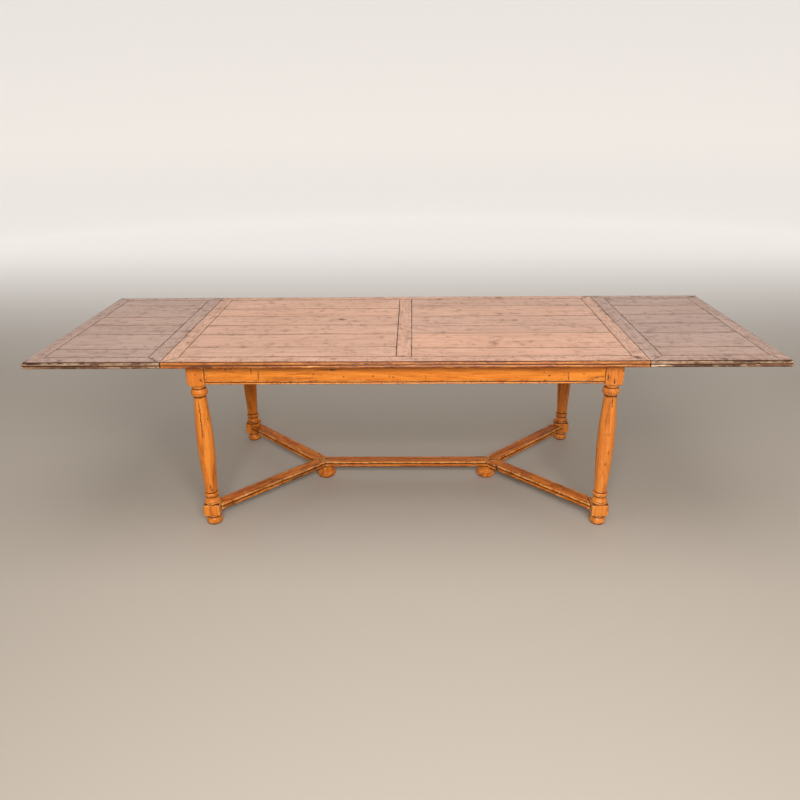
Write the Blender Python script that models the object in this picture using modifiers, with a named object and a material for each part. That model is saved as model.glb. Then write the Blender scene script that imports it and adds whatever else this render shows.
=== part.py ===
"""Extendable dining table with a framed plank top, two end leaves and a Y-stretcher base.

X runs along the table, Y across it (the front is -Y) and Z is up. The origin is on the
floor under the middle of the table, and every size is in metres. The table stands as it
is used at full length: both leaves are on, carried by two pull-out lopers at each end.
"""
import math

import bmesh
import bpy
from mathutils import Matrix, Vector

# Overall sizes
TABLE_HEIGHT = 0.762
MAIN_LENGTH = 1.880
TOP_WIDTH = 1.031
LEAF_LENGTH = 0.541
TOP_THICKNESS = 0.0286

# Fits
GAP = 0.0003
SEAM_GAP = 0.0006
RUN_CLEARANCE = 0.0006
OVERLAP = 0.02

# Boards of the top
SIDE_BORDER = 0.0635
MAIN_END_BORDER = 0.056
LEAF_INNER_BORDER = 0.062
LEAF_OUTER_BORDER = 0.065
CENTRE_RAIL = 0.060
ARRIS = 0.0009
TONGUE_LENGTH = 0.010
TONGUE_THICKNESS = 0.009
BOARD_WIDTHS = {
    "main_left": (126, 179, 138, 151, 135, 175),
    "main_right": (105, 206, 114, 161, 187, 131),
    "leaf_left": (104, 204, 144, 135, 215, 102),
    "leaf_right": (106, 200, 145, 151, 162, 140),
}
BOARD_GROOVE = 0.0012

# Moulded edge of the top
EDGE_STEP = 0.0025
EDGE_LEDGE = 0.0007
OVOLO_DEPTH = 0.0075
OVOLO_FOOT = 0.0125
EDGE_QUIRK = 0.0028
EDGE_BEAD = 0.0068

# Leaf pins
PIN_RADIUS = 0.005
PIN_INSET = 0.2125
PIN_IN_LEAF = 0.028
PIN_IN_MAIN = 0.022

# Legs
LEG_BLOCK = 0.0708
LEG_END_OVERHANG = 0.0778
LEG_SIDE_OVERHANG = 0.0545
LEG_TOP_BLOCK = 0.094
FOOT_HEIGHT = 0.045
LEG_LOW_BLOCK = 0.053
BLOCK_ARRIS = 0.0018
LEG_NECK = 0.0253
LEG_SWELL = 0.0099
LEG_STEPS = 16
FOOT_STEPS = 20

# Leg turnings: radii are given beyond the neck, heights from the nearer square block
COLLAR = ((0.0055, 0.0020), (0.0024, 0.0070), (0.0012, 0.0130))
TOP_RING = (
    (0.0012, 0.0145), (0.0050, 0.0185), (0.0078, 0.0265), (0.0088, 0.0345), (0.0070, 0.0420),
    (0.0016, 0.0468),
)
VASE_BELOW_BLOCK = 0.056
VASE_ABOVE_BLOCK = 0.057
VASE_SWELLING = (
    (0.0, 0.04), (0.14, 0.46), (0.30, 0.86), (0.46, 1.0), (0.62, 0.90), (0.80, 0.50), (1.0, 0.08),
)
SMALL_RING = (0.0008, 0.0062, 0.0525, 0.0335)
BELL = ((0.0018, 0.0310), (0.0024, 0.0240), (0.0048, 0.0170), (0.0080, 0.0115))
BIG_RING = (0.0058, 0.0098, 0.0100, 0.0010)
FOOT = (
    (0.0022, 0.0030), (0.0046, 0.0070), (0.0016, 0.0115), (0.0052, 0.0175),
    (0.0084, 0.0265), (0.0078, 0.0355), (0.0030, 0.0450),
)
BURIED = 0.020

# Aprons
APRON_THICKNESS = 0.022
APRON_SETBACK = 0.004
APRON_HEIGHT = 0.087
APRON_BEAD = 0.0045
APRON_QUIRK = 0.0025
QUIRK_HEIGHT = 0.0014
TENON_LENGTH = 0.030
TENON_THICKNESS = 0.010
TENON_SHOULDER = 0.012

# Stretchers and middle feet
STRETCHER_WIDTH = 0.062
STRETCHER_THICKNESS = 0.0295
STRETCHER_TOP = 0.087
STRETCHER_ARRIS = 0.0015
STRETCHER_BAND = 0.0085
STRETCHER_QUIRK = 0.0032
STRETCHER_QUIRK_HEIGHT = 0.0020
MID_FOOT_INSET = 0.014
MID_FOOT_RADIUS = 0.045
MID_FOOT_NECK = 0.020
BUN = ((0.88, 0.024), (0.63, 0.006), (0.39, 0.0), (0.14, 0.006), (0.0, 0.017))
STEM_RADIUS = 0.010
STEM_LENGTH = 0.020

# Corner blocks and leg bolts
CORNER_BLOCK_THICKNESS = 0.028
CORNER_BLOCK_HEIGHT = 0.060
BOLT_RADIUS = 0.004
BOLT_IN_LEG = 0.044
BOLT_HEAD_RADIUS = 0.0075
BOLT_HEAD_HEIGHT = 0.0055
WASHER_RADIUS = 0.011
WASHER_THICKNESS = 0.002

# Lopers, their troughs and the cross bearers
LOPER_WIDTH = 0.045
LOPER_HEIGHT = 0.045
LOPER_FROM_CORNER_BLOCK = 0.010
LOPER_TIP_SETBACK = 0.0845
LOPER_END_CLEARANCE = 0.045
FINGER_NOTCH = 0.012
FINGER_NOTCH_INSET = 0.036
STOP_RADIUS = 0.005
STOP_INSET = 0.030
TROUGH_WALL = 0.016
TROUGH_FLOOR = 0.012
BEARER_THICKNESS = 0.022
BEARER_HEIGHT = 0.078
BEARER_OFFSET = 0.420
BEARER_TENON = 0.010
BEARER_TENON_THICKNESS = 0.012
BEARER_SHOULDER = 0.010

# Places that follow from the sizes
HALF_MAIN = MAIN_LENGTH / 2
HALF_WIDTH = TOP_WIDTH / 2
FIELD_Y = HALF_WIDTH - SIDE_BORDER
LEAF_START = HALF_MAIN + SEAM_GAP
LEAF_END = LEAF_START + LEAF_LENGTH
UNDER_TOP = TABLE_HEIGHT - TOP_THICKNESS
TOP_MIDDLE = TABLE_HEIGHT - TOP_THICKNESS / 2
FRAME_TOP = UNDER_TOP - GAP
LEG_X = HALF_MAIN - LEG_END_OVERHANG - LEG_BLOCK / 2
LEG_Y = HALF_WIDTH - LEG_SIDE_OVERHANG - LEG_BLOCK / 2
APRON_X = LEG_X + LEG_BLOCK / 2 - APRON_SETBACK - APRON_THICKNESS / 2
APRON_Y = LEG_Y + LEG_BLOCK / 2 - APRON_SETBACK - APRON_THICKNESS / 2
APRON_BOTTOM = FRAME_TOP - APRON_HEIGHT
LOW_BLOCK_TOP = FOOT_HEIGHT + LEG_LOW_BLOCK
STRETCHER_BOTTOM = STRETCHER_TOP - STRETCHER_THICKNESS
NODE_X = LEG_X - LEG_Y
LOPER_BOTTOM = FRAME_TOP - LOPER_HEIGHT
TROUGH_TOP_OF_FLOOR = LOPER_BOTTOM - RUN_CLEARANCE
TROUGH_BOTTOM = TROUGH_TOP_OF_FLOOR - TROUGH_FLOOR
TROUGH_HALF = LOPER_WIDTH / 2 + RUN_CLEARANCE + TROUGH_WALL
CORNER_SUM = LEG_X + LEG_Y - LEG_BLOCK - 2 * GAP
CORNER_INNER_SUM = CORNER_SUM - CORNER_BLOCK_THICKNESS * math.sqrt(2)
CORNER_BLOCK_END_Y = CORNER_INNER_SUM - (APRON_X - APRON_THICKNESS / 2 - GAP)
LOPER_Y = CORNER_BLOCK_END_Y - TROUGH_HALF - LOPER_FROM_CORNER_BLOCK
LOPER_INNER = BEARER_THICKNESS / 2 + LOPER_END_CLEARANCE
LOPER_STORED_TIP = APRON_X + APRON_THICKNESS / 2
LOPER_LENGTH = LOPER_STORED_TIP - LOPER_INNER
LOPER_TRAVEL = LEAF_END - LOPER_TIP_SETBACK - LOPER_STORED_TIP

SIDES = (("left", -1), ("right", 1))
ENDS = (("front", -1), ("back", 1))

for old_object in list(bpy.data.objects):
    bpy.data.objects.remove(old_object, do_unlink=True)

PARTS = bpy.data.collections.new("extendable_dining_table")
CUTTERS = bpy.data.collections.new("cutters_and_guides")
bpy.context.scene.collection.children.link(PARTS)
bpy.context.scene.collection.children.link(CUTTERS)


# ---------------------------------------------------------------- materials

def finish(name, colour, roughness, metallic):
    """Return a Principled BSDF material."""
    material = bpy.data.materials.new(name)
    material.use_nodes = True
    shader = material.node_tree.nodes["Principled BSDF"]
    shader.inputs["Base Color"].default_value = (*colour, 1.0)
    shader.inputs["Roughness"].default_value = roughness
    shader.inputs["Metallic"].default_value = metallic
    return material


FINISHES = {
    "top": ("main_top_timber", (0.66, 0.41, 0.30), 0.42, 0.0),
    "leaf": ("leaf_timber", (0.50, 0.33, 0.26), 0.45, 0.0),
    "base": ("stained_base_timber", (0.60, 0.25, 0.06), 0.40, 0.0),
    "inner": ("unfinished_inner_timber", (0.62, 0.45, 0.28), 0.70, 0.0),
    "dowel": ("dowel_timber", (0.70, 0.52, 0.32), 0.60, 0.0),
    "brass": ("brass_pin", (0.70, 0.52, 0.22), 0.35, 1.0),
    "steel": ("zinc_plated_steel", (0.60, 0.60, 0.62), 0.35, 1.0),
}


# ------------------------------------------------------------- shape makers

def add_object(name, mesh, location=(0, 0, 0), turn=0.0):
    """Wrap a mesh in an object; it stays a guide until finish_part claims it."""
    piece = bpy.data.objects.new(name, mesh)
    piece.location = location
    piece.rotation_euler = (0, 0, turn)
    CUTTERS.objects.link(piece)
    piece.hide_render = True
    piece.display_type = "WIRE"
    return piece


def finish_part(piece, finish_name, parent=None):
    """Move a piece from the guides to the parts, with its own material."""
    CUTTERS.objects.unlink(piece)
    PARTS.objects.link(piece)
    piece.hide_render = False
    piece.display_type = "TEXTURED"
    label, colour, roughness, metallic = FINISHES[finish_name]
    piece.data.materials.clear()
    piece.data.materials.append(finish(f"{label}_{piece.name}", colour, roughness, metallic))
    if parent is not None:
        piece.parent = parent
        piece.location = piece.location - parent.location
    return piece


def slide_origin(name, location):
    """Add an empty on a slide's axis for the pieces that move along it."""
    empty = bpy.data.objects.new(name, None)
    empty.location = location
    empty.empty_display_size = 0.05
    PARTS.objects.link(empty)
    return empty


def box(name, low, high, arris=0.0):
    """Make a box between two corners, with an optional chamfer on its edges."""
    low, high = Vector(low), Vector(high)
    size = high - low
    mesh = bpy.data.meshes.new(name)
    solid = bmesh.new()
    bmesh.ops.create_cube(solid, size=1.0, matrix=Matrix.Diagonal((*size, 1.0)))
    if arris > 0:
        bmesh.ops.bevel(
            solid, geom=solid.edges[:], offset=arris, offset_type="OFFSET", segments=1, affect="EDGES"
        )
    solid.to_mesh(mesh)
    solid.free()
    return add_object(name, mesh, (low + high) / 2)


def outline_prism(name, outline, depth):
    """Fill a flat outline and give it a depth, centred on the plane z = 0."""
    curve = bpy.data.curves.new(name, "CURVE")
    curve.dimensions = "2D"
    curve.fill_mode = "BOTH"
    curve.extrude = depth / 2
    spline = curve.splines.new("POLY")
    spline.points.add(len(outline) - 1)
    for point, (u, v) in zip(spline.points, outline):
        point.co = (u, v, 0, 1)
    spline.use_cyclic_u = True
    guide = bpy.data.objects.new(name, curve)
    CUTTERS.objects.link(guide)
    evaluated = guide.evaluated_get(bpy.context.evaluated_depsgraph_get())
    mesh = bpy.data.meshes.new_from_object(evaluated)
    bpy.data.objects.remove(guide, do_unlink=True)
    bpy.data.curves.remove(curve)
    solid = bmesh.new()
    solid.from_mesh(mesh)
    bmesh.ops.remove_doubles(solid, verts=solid.verts, dist=1e-6)
    bmesh.ops.dissolve_limit(solid, angle_limit=1e-4, verts=solid.verts, edges=solid.edges)
    bmesh.ops.recalc_face_normals(solid, faces=solid.faces)
    solid.to_mesh(mesh)
    solid.free()
    mesh.name = name
    return mesh


def footprint(name, outline, low, high, arris=0.0):
    """Stand a plan outline up between two heights, with its top edges eased."""
    centre_x = sum(x for x, _ in outline) / len(outline)
    centre_y = sum(y for _, y in outline) / len(outline)
    local = [(x - centre_x, y - centre_y) for x, y in outline]
    mesh = outline_prism(name, local, high - low)
    if arris > 0:
        solid = bmesh.new()
        solid.from_mesh(mesh)
        top = max(v.co.z for v in solid.verts) - 1e-6
        rim = [e for e in solid.edges if all(v.co.z > top for v in e.verts)]
        bmesh.ops.bevel(
            solid, geom=rim, offset=arris, offset_type="OFFSET", segments=1, affect="EDGES"
        )
        solid.to_mesh(mesh)
        solid.free()
    return add_object(name, mesh, (centre_x, centre_y, (low + high) / 2))


def moulding(name, section, length, centre, turn=0.0):
    """Run a section (across, up) along X for a length, then turn it about Z."""
    mesh = outline_prism(name, section, length)
    stand_up = Matrix.Rotation(math.radians(90), 4, "Z") @ Matrix.Rotation(math.radians(90), 4, "X")
    mesh.transform(stand_up)
    return add_object(name, mesh, centre, turn)


def turned(name, profile, location, steps):
    """Turn a profile of (radius, height) points, listed from the top down, about Z."""
    mesh = bpy.data.meshes.new(name)
    line = bmesh.new()
    points = [line.verts.new((radius, 0, height)) for radius, height in profile]
    for upper, lower in zip(points, points[1:]):
        line.edges.new((upper, lower))
    line.to_mesh(mesh)
    line.free()
    piece = add_object(name, mesh, location)
    screw = piece.modifiers.new("turning", "SCREW")
    screw.axis = "Z"
    screw.steps = steps
    screw.render_steps = steps
    screw.use_merge_vertices = True
    screw.merge_threshold = 0.00001
    screw.use_smooth_shade = True
    return piece


def cylinder(name, radius, start, end, sides=16):
    """Make a cylinder between two points."""
    start, end = Vector(start), Vector(end)
    mesh = bpy.data.meshes.new(name)
    solid = bmesh.new()
    bmesh.ops.create_cone(
        solid, cap_ends=True, segments=sides, radius1=radius, radius2=radius,
        depth=(end - start).length,
    )
    solid.to_mesh(mesh)
    solid.free()
    mesh.shade_smooth()
    mesh.set_sharp_from_angle(angle=math.radians(40))
    piece = add_object(name, mesh, (start + end) / 2)
    piece.rotation_mode = "QUATERNION"
    piece.rotation_quaternion = (end - start).to_track_quat("Z", "Y")
    return piece


def combine(piece, tool, operation):
    """Add an exact Boolean of piece and tool."""
    modifier = piece.modifiers.new(f"{operation.lower()}_{tool.name}", "BOOLEAN")
    modifier.operation = operation
    modifier.solver = "EXACT"
    modifier.object = tool


def cut(piece, *tools):
    """Cut tools out of a piece."""
    for tool in tools:
        combine(piece, tool, "DIFFERENCE")


def join(piece, *tools):
    """Join tools to a piece as one solid."""
    for tool in tools:
        combine(piece, tool, "UNION")


def keep_inside(piece, tool):
    """Keep only what a piece shares with a tool."""
    combine(piece, tool, "INTERSECT")


# ---------------------------------------------------------- outline helpers

def arc(centre, radius_u, radius_v, start, end, count):
    """Return points on an ellipse arc, with angles in degrees."""
    angles = [math.radians(start + (end - start) * i / count) for i in range(count + 1)]
    return [(centre[0] + radius_u * math.cos(a), centre[1] + radius_v * math.sin(a)) for a in angles]


def half_bead(base, crest, top, bottom, count=5):
    """Return a turned bead, from the top down, that swells from base to crest."""
    middle = (top + bottom) / 2
    return arc((base, middle), crest - base, (top - bottom) / 2, 90, -90, count)


def flowing(points, per_span=3):
    """Return a smooth line through points (Catmull-Rom), ends included."""
    padded = [points[0], *points, points[-1]]
    line = []
    for before, start, end, after in zip(padded, padded[1:], padded[2:], padded[3:]):
        for i in range(per_span):
            t = i / per_span
            line.append(tuple(spline_value(*values, t) for values in zip(before, start, end, after)))
    line.append(points[-1])
    return line


def spline_value(before, start, end, after, t):
    """Return the Catmull-Rom value between start and end."""
    slope_start = (end - before) / 2
    slope_end = (after - start) / 2
    t2 = t * t
    t3 = t2 * t
    return (
        (2 * t3 - 3 * t2 + 1) * start + (t3 - 2 * t2 + t) * slope_start
        + (3 * t2 - 2 * t3) * end + (t3 - t2) * slope_end
    )


def inset(outline, distance):
    """Move each side of a counter-clockwise outline inwards by a distance."""
    moved = []
    count = len(outline)
    for i in range(count):
        before, here, after = (Vector(outline[(i + k) % count]) for k in (-1, 0, 1))
        arriving = (here - before).normalized()
        leaving = (after - here).normalized()
        normal_in = Vector((-arriving.y, arriving.x))
        normal_out = Vector((-leaving.y, leaving.x))
        bisector = normal_in + normal_out
        scale = distance / (1 + normal_in.dot(normal_out))
        corner = here + bisector * scale
        moved.append((corner.x, corner.y))
    return moved


def counter_clockwise(outline):
    """Return the outline with its points in counter-clockwise order."""
    area = sum(a[0] * b[1] - b[0] * a[1] for a, b in zip(outline, outline[1:] + outline[:1]))
    return outline if area > 0 else outline[::-1]


def beyond(inner, outer):
    """Carry the line from inner to outer on past the moulded edge."""
    inner, outer = Vector(inner), Vector(outer)
    return tuple(outer + (outer - inner).normalized() * OVERLAP)


# -------------------------------------------------------------- top boards

def edge_section():
    """Return the moulded edge as (inward, down) points, from above the top surface down."""
    bead_middle = TOP_THICKNESS - EDGE_BEAD
    upper = math.degrees(math.acos(1 - EDGE_QUIRK / EDGE_BEAD))
    step = [(OVOLO_DEPTH, -OVERLAP), (OVOLO_DEPTH, EDGE_STEP)]
    ledge = OVOLO_DEPTH - EDGE_LEDGE
    ovolo = [(u, -v) for u, v in arc((ledge, -OVOLO_FOOT), ledge, OVOLO_FOOT - EDGE_STEP, 90, 180, 4)]
    quirk = [(EDGE_QUIRK, OVOLO_FOOT + EDGE_QUIRK / 3)]
    bead = [(u, -v) for u, v in arc((EDGE_BEAD, -bead_middle), EDGE_BEAD, EDGE_BEAD,
                                    180 - upper, 255, 6)]
    return step + ovolo + quirk + bead


def moulded_slab(name, low, high, both_edges, axis):
    """Make a blank for the top whose sides, along X or Y, are moulded.

    It stands above the top surface, which each board's own outline then cuts.
    """
    section = edge_section()
    half = TOP_THICKNESS / 2
    far_side = [(high - inward, half - down) for inward, down in section]
    if both_edges:
        near_side = [(low + inward, half - down) for inward, down in section]
    else:
        near_side = [(low - OVERLAP, half + OVERLAP), (low - OVERLAP, -half)]
    bottom_far = [(high - EDGE_BEAD, -half)]
    bottom_near = [(low + EDGE_BEAD, -half)] if both_edges else []
    outline = far_side + bottom_far + bottom_near + near_side[::-1]
    if axis == "X":
        length = 2 * (LEAF_END + OVERLAP)
        return moulding(name, outline, length, (0, 0, TOP_MIDDLE))
    length = 2 * (HALF_WIDTH + OVERLAP)
    return moulding(name, outline, length, (0, 0, TOP_MIDDLE), math.radians(-90))


def top_board(name, outline, blanks, grooves, parent):
    """Make one solid board of the top from its plan outline."""
    outline = inset(counter_clockwise(outline), GAP / 2)
    board = footprint(name, outline, UNDER_TOP - OVERLAP, TABLE_HEIGHT, ARRIS)
    for blank in blanks:
        keep_inside(board, blank)
    cut(board, *grooves)
    weld = board.modifiers.new("merge_where_mouldings_cross", "WELD")
    weld.merge_threshold = 0.00002
    return finish_part(board, "leaf" if name.startswith("leaf") else "top", parent)


def field_limits(low_x, high_x, grow):
    """Return the plan corners of a field panel, grown by a distance."""
    return (low_x - grow, -FIELD_Y - grow), (high_x + grow, FIELD_Y + grow)


def groove_for(name, low_x, high_x):
    """Make the cutter for the groove that takes a field panel's tongue."""
    low, high = field_limits(low_x, high_x, TONGUE_LENGTH + GAP)
    half = TONGUE_THICKNESS / 2 + GAP
    return box(name, (*low, TOP_MIDDLE - half), (*high, TOP_MIDDLE + half))


def field_panel(name, low_x, high_x, widths, parent):
    """Make a panel of glued-up planks, with a tongue round it and a V at each plank joint."""
    low, high = field_limits(low_x, high_x, -GAP / 2)
    outline = [low, (high[0], low[1]), high, (low[0], high[1])]
    panel = footprint(name, outline, UNDER_TOP, TABLE_HEIGHT, ARRIS)
    tongue_low, tongue_high = field_limits(low_x, high_x, TONGUE_LENGTH)
    half = TONGUE_THICKNESS / 2
    join(panel, box(
        f"{name}_tongue", (*tongue_low, TOP_MIDDLE - half), (*tongue_high, TOP_MIDDLE + half)
    ))
    y = -FIELD_Y
    for number, width in enumerate(widths[:-1], start=1):
        y += 2 * FIELD_Y * width / sum(widths)
        section = [(0, -BOARD_GROOVE), (2 * BOARD_GROOVE, BOARD_GROOVE), (-2 * BOARD_GROOVE, BOARD_GROOVE)]
        length = high_x - low_x + OVERLAP
        centre = ((low_x + high_x) / 2, y, TABLE_HEIGHT)
        cut(panel, moulding(f"{name}_joint_{number}", section, length, centre))
    return finish_part(panel, "leaf" if name.startswith("leaf") else "top", parent)


def frame_borders(name, corners, inner, blanks, grooves, parent):
    """Make four mitred borders: corners and inner are plan corners, front left first."""
    labels = ("front", "right", "back", "left")
    outer = [beyond(i, o) for i, o in zip(inner, corners)]
    for number, label in enumerate(labels):
        following = (number + 1) % 4
        outline = [outer[number], outer[following], inner[following], inner[number]]
        top_board(f"{name}_border_{label}", outline, blanks, grooves[label], parent)


def pin_place(side, end):
    """Return the seam point of a leaf pin."""
    return Vector((side * (HALF_MAIN + SEAM_GAP / 2), end * (HALF_WIDTH - PIN_INSET), TOP_MIDDLE))


def pin_hole(name, side, end):
    """Make the cutter for a pin's two holes."""
    seam = pin_place(side, end)
    inner = seam - Vector((side * (PIN_IN_MAIN + 3 * GAP), 0, 0))
    outer = seam + Vector((side * (PIN_IN_LEAF + GAP), 0, 0))
    return cylinder(name, PIN_RADIUS + GAP, inner, outer)


PIN_HOLES = {
    side_name: [pin_hole(f"pin_hole_{end_name}_{side_name}", side, end) for end_name, end in ENDS]
    for side_name, side in SIDES
}
LEAF_SLIDES = {
    side_name: slide_origin(f"leaf_{side_name}_slide", (side * LEAF_START, 0, TOP_MIDDLE))
    for side_name, side in SIDES
}


def main_top():
    """Main top: mitred borders, a centre rail and two plank fields."""
    blank = moulded_slab("main_top_blank", -HALF_WIDTH, HALF_WIDTH, True, "X")
    end_line = HALF_MAIN - MAIN_END_BORDER
    rail = CENTRE_RAIL / 2
    all_round = groove_for("main_top_groove", -end_line, end_line)
    corners = [(-HALF_MAIN, -HALF_WIDTH), (HALF_MAIN, -HALF_WIDTH),
               (HALF_MAIN, HALF_WIDTH), (-HALF_MAIN, HALF_WIDTH)]
    inner = [(-end_line, -FIELD_Y), (end_line, -FIELD_Y), (end_line, FIELD_Y), (-end_line, FIELD_Y)]
    ends = box(
        "main_top_ends",
        (-HALF_MAIN + GAP / 2, -HALF_WIDTH - OVERLAP, UNDER_TOP - OVERLAP),
        (HALF_MAIN - GAP / 2, HALF_WIDTH + OVERLAP, TABLE_HEIGHT + OVERLAP),
    )
    grooves = {
        "front": [all_round],
        "back": [all_round],
        "left": [all_round, *PIN_HOLES["left"]],
        "right": [all_round, *PIN_HOLES["right"]],
    }
    frame_borders("main_top", corners, inner, [blank, ends], grooves, None)

    sides = [groove_for("field_groove_left", -end_line, -rail),
             groove_for("field_groove_right", rail, end_line)]
    outline = [(-rail, -FIELD_Y), (rail, -FIELD_Y), (rail, FIELD_Y), (-rail, FIELD_Y)]
    centre = footprint("main_top_centre_rail", inset(outline, GAP / 2), UNDER_TOP, TABLE_HEIGHT, ARRIS)
    cut(centre, *sides)
    tenon_x = rail - TONGUE_LENGTH - 2 * GAP
    tenon_y = FIELD_Y + TONGUE_LENGTH
    half = TONGUE_THICKNESS / 2
    join(centre, box("centre_rail_tenons", (-tenon_x, -tenon_y, TOP_MIDDLE - half),
                     (tenon_x, tenon_y, TOP_MIDDLE + half)))
    finish_part(centre, "top")
    field_panel("main_top_field_left", -end_line, -rail, BOARD_WIDTHS["main_left"], None)
    field_panel("main_top_field_right", rail, end_line, BOARD_WIDTHS["main_right"], None)


def leaf(side_name, side):
    """One end leaf: mitred borders round a plank field, with two pins at the seam."""
    name = f"leaf_{side_name}"
    slide = LEAF_SLIDES[side_name]
    across = moulded_slab(f"{name}_blank_long", -HALF_WIDTH, HALF_WIDTH, True, "X")
    end = moulded_slab(f"{name}_blank_end", 0.0, LEAF_END, False, "Y")
    if side < 0:
        end.rotation_euler.z += math.pi
    seam = box(
        f"{name}_seam",
        (LEAF_START + GAP / 2, -HALF_WIDTH - OVERLAP, UNDER_TOP - OVERLAP),
        (LEAF_END + OVERLAP, HALF_WIDTH + OVERLAP, TABLE_HEIGHT + OVERLAP),
    )
    seam.location.x *= side
    inner_line = side * (LEAF_START + LEAF_INNER_BORDER)
    outer_line = side * (LEAF_END - LEAF_OUTER_BORDER)
    low_line, high_line = sorted((inner_line, outer_line))
    low_edge, high_edge = sorted((side * LEAF_START, side * LEAF_END))
    corners = [(low_edge, -HALF_WIDTH), (high_edge, -HALF_WIDTH),
               (high_edge, HALF_WIDTH), (low_edge, HALF_WIDTH)]
    inner = [(low_line, -FIELD_Y), (high_line, -FIELD_Y), (high_line, FIELD_Y), (low_line, FIELD_Y)]
    groove = groove_for(f"{name}_groove", low_line, high_line)
    grooves = {label: [groove] for label in ("front", "right", "back", "left")}
    seam_label = "left" if side > 0 else "right"
    grooves[seam_label] = [groove, *PIN_HOLES[side_name]]
    frame_borders(name, corners, inner, [across, end, seam], grooves, slide)
    field_panel(f"{name}_field", low_line, high_line, BOARD_WIDTHS[name], slide)
    for end_name, end_sign in ENDS:
        seam_point = pin_place(side, end_sign)
        pin = cylinder(
            f"{name}_pin_{end_name}", PIN_RADIUS,
            seam_point - Vector((side * PIN_IN_MAIN, 0, 0)),
            seam_point + Vector((side * PIN_IN_LEAF, 0, 0)),
        )
        finish_part(pin, "brass", slide)


# ------------------------------------------------------------------- frame

def ring(level, base, crest, top, bottom):
    """Return a ring's profile above a level."""
    return half_bead(LEG_NECK + base, LEG_NECK + crest, level + top, level + bottom)


def leg_profile():
    """Return the turned outline of a leg from inside its top block to the floor."""
    upper = FRAME_TOP - LEG_TOP_BLOCK
    lower = LOW_BLOCK_TOP
    vase_top = upper - VASE_BELOW_BLOCK
    vase_bottom = lower + VASE_ABOVE_BLOCK
    collar = flowing([(LEG_NECK + out, upper - down) for out, down in COLLAR], 2)
    top_ring = flowing([(LEG_NECK + out, upper - down) for out, down in TOP_RING], 2)
    vase = flowing([
        (LEG_NECK + LEG_SWELL * share, vase_top + (vase_bottom - vase_top) * down)
        for down, share in VASE_SWELLING
    ], 2)
    bell = flowing([(LEG_NECK + out, lower + above) for out, above in BELL], 2)
    foot = flowing([(LEG_NECK + out, FOOT_HEIGHT - down) for out, down in FOOT], 2)
    return [
        (0, upper + BURIED), (LEG_NECK, upper + BURIED), (LEG_NECK, upper + COLLAR[0][1]),
        *collar,
        *top_ring,
        *vase,
        *ring(lower, *SMALL_RING),
        *bell,
        *ring(lower, *BIG_RING),
        (LEG_NECK, lower - BLOCK_ARRIS * 2), (LEG_NECK, FOOT_HEIGHT + BLOCK_ARRIS * 2),
        *foot, (0, 0),
    ]


def mortise_and_tenon(name, side, end, along, clearance):
    """Make an apron tenon (or, with clearance, its mortise) at one leg."""
    thick = TENON_THICKNESS / 2 + clearance
    reach = TENON_LENGTH + clearance
    shoulder_x = LEG_X - LEG_BLOCK / 2
    shoulder_y = LEG_Y - LEG_BLOCK / 2
    low_z = APRON_BOTTOM + TENON_SHOULDER - clearance
    high_z = FRAME_TOP - TENON_SHOULDER + clearance
    if along == "X":
        low = (shoulder_x - OVERLAP, APRON_Y - thick, low_z)
        high = (shoulder_x + reach, APRON_Y + thick, high_z)
    else:
        low = (APRON_X - thick, shoulder_y - OVERLAP, low_z)
        high = (APRON_X + thick, shoulder_y + reach, high_z)
    tool = box(name, low, high)
    tool.location.x *= side
    tool.location.y *= end
    return tool


def bolt_line(side, end):
    """Return the bolt's point at the leg's inner corner and its direction into the leg."""
    corner = Vector((side * (LEG_X - LEG_BLOCK / 2), end * (LEG_Y - LEG_BLOCK / 2), 0))
    corner.z = FRAME_TOP - APRON_HEIGHT / 2
    return corner, Vector((side, end, 0)).normalized()


def bolt_hole(name, side, end):
    """Make the cutter for the hole through a corner block into a leg."""
    corner, inwards = bolt_line(side, end)
    start = corner - inwards * (CORNER_BLOCK_THICKNESS + OVERLAP)
    return cylinder(name, BOLT_RADIUS + GAP, start, corner + inwards * (BOLT_IN_LEG + GAP))


def leg(side_name, side, end_name, end):
    """One turned leg with its square blocks, mortises and bolt hole."""
    name = f"leg_{end_name}_{side_name}"
    place = (side * LEG_X, end * LEG_Y, 0)
    piece = turned(name, leg_profile(), place, LEG_STEPS)
    half = LEG_BLOCK / 2
    for label, low_z, high_z in (
        ("top_block", FRAME_TOP - LEG_TOP_BLOCK, FRAME_TOP),
        ("low_block", FOOT_HEIGHT, LOW_BLOCK_TOP),
    ):
        block = box(f"{name}_{label}", (-half, -half, low_z), (half, half, high_z), BLOCK_ARRIS)
        block.location.x += place[0]
        block.location.y += place[1]
        join(piece, block)
    cut(
        piece,
        mortise_and_tenon(f"{name}_mortise_long", side, end, "X", GAP),
        mortise_and_tenon(f"{name}_mortise_end", side, end, "Y", GAP),
        bolt_hole(f"{name}_bolt_hole", side, end),
    )
    finish_part(piece, "base")


def apron_section(outwards):
    """Return an apron's section (across, up): a flat board with a quirked bead below."""
    half = APRON_THICKNESS / 2
    top = APRON_HEIGHT / 2
    bottom = -top
    bead = arc((half - APRON_BEAD, bottom + APRON_BEAD), APRON_BEAD, APRON_BEAD, -90, 60, 5)
    bead_top = bottom + 2 * APRON_BEAD
    quirk = [(half - APRON_QUIRK, bead_top + GAP), (half, bead_top + GAP + QUIRK_HEIGHT)]
    section = [(-half, bottom), *bead, *quirk, (half, top), (-half, top)]
    return [(outwards * across, up) for across, up in section]


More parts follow.
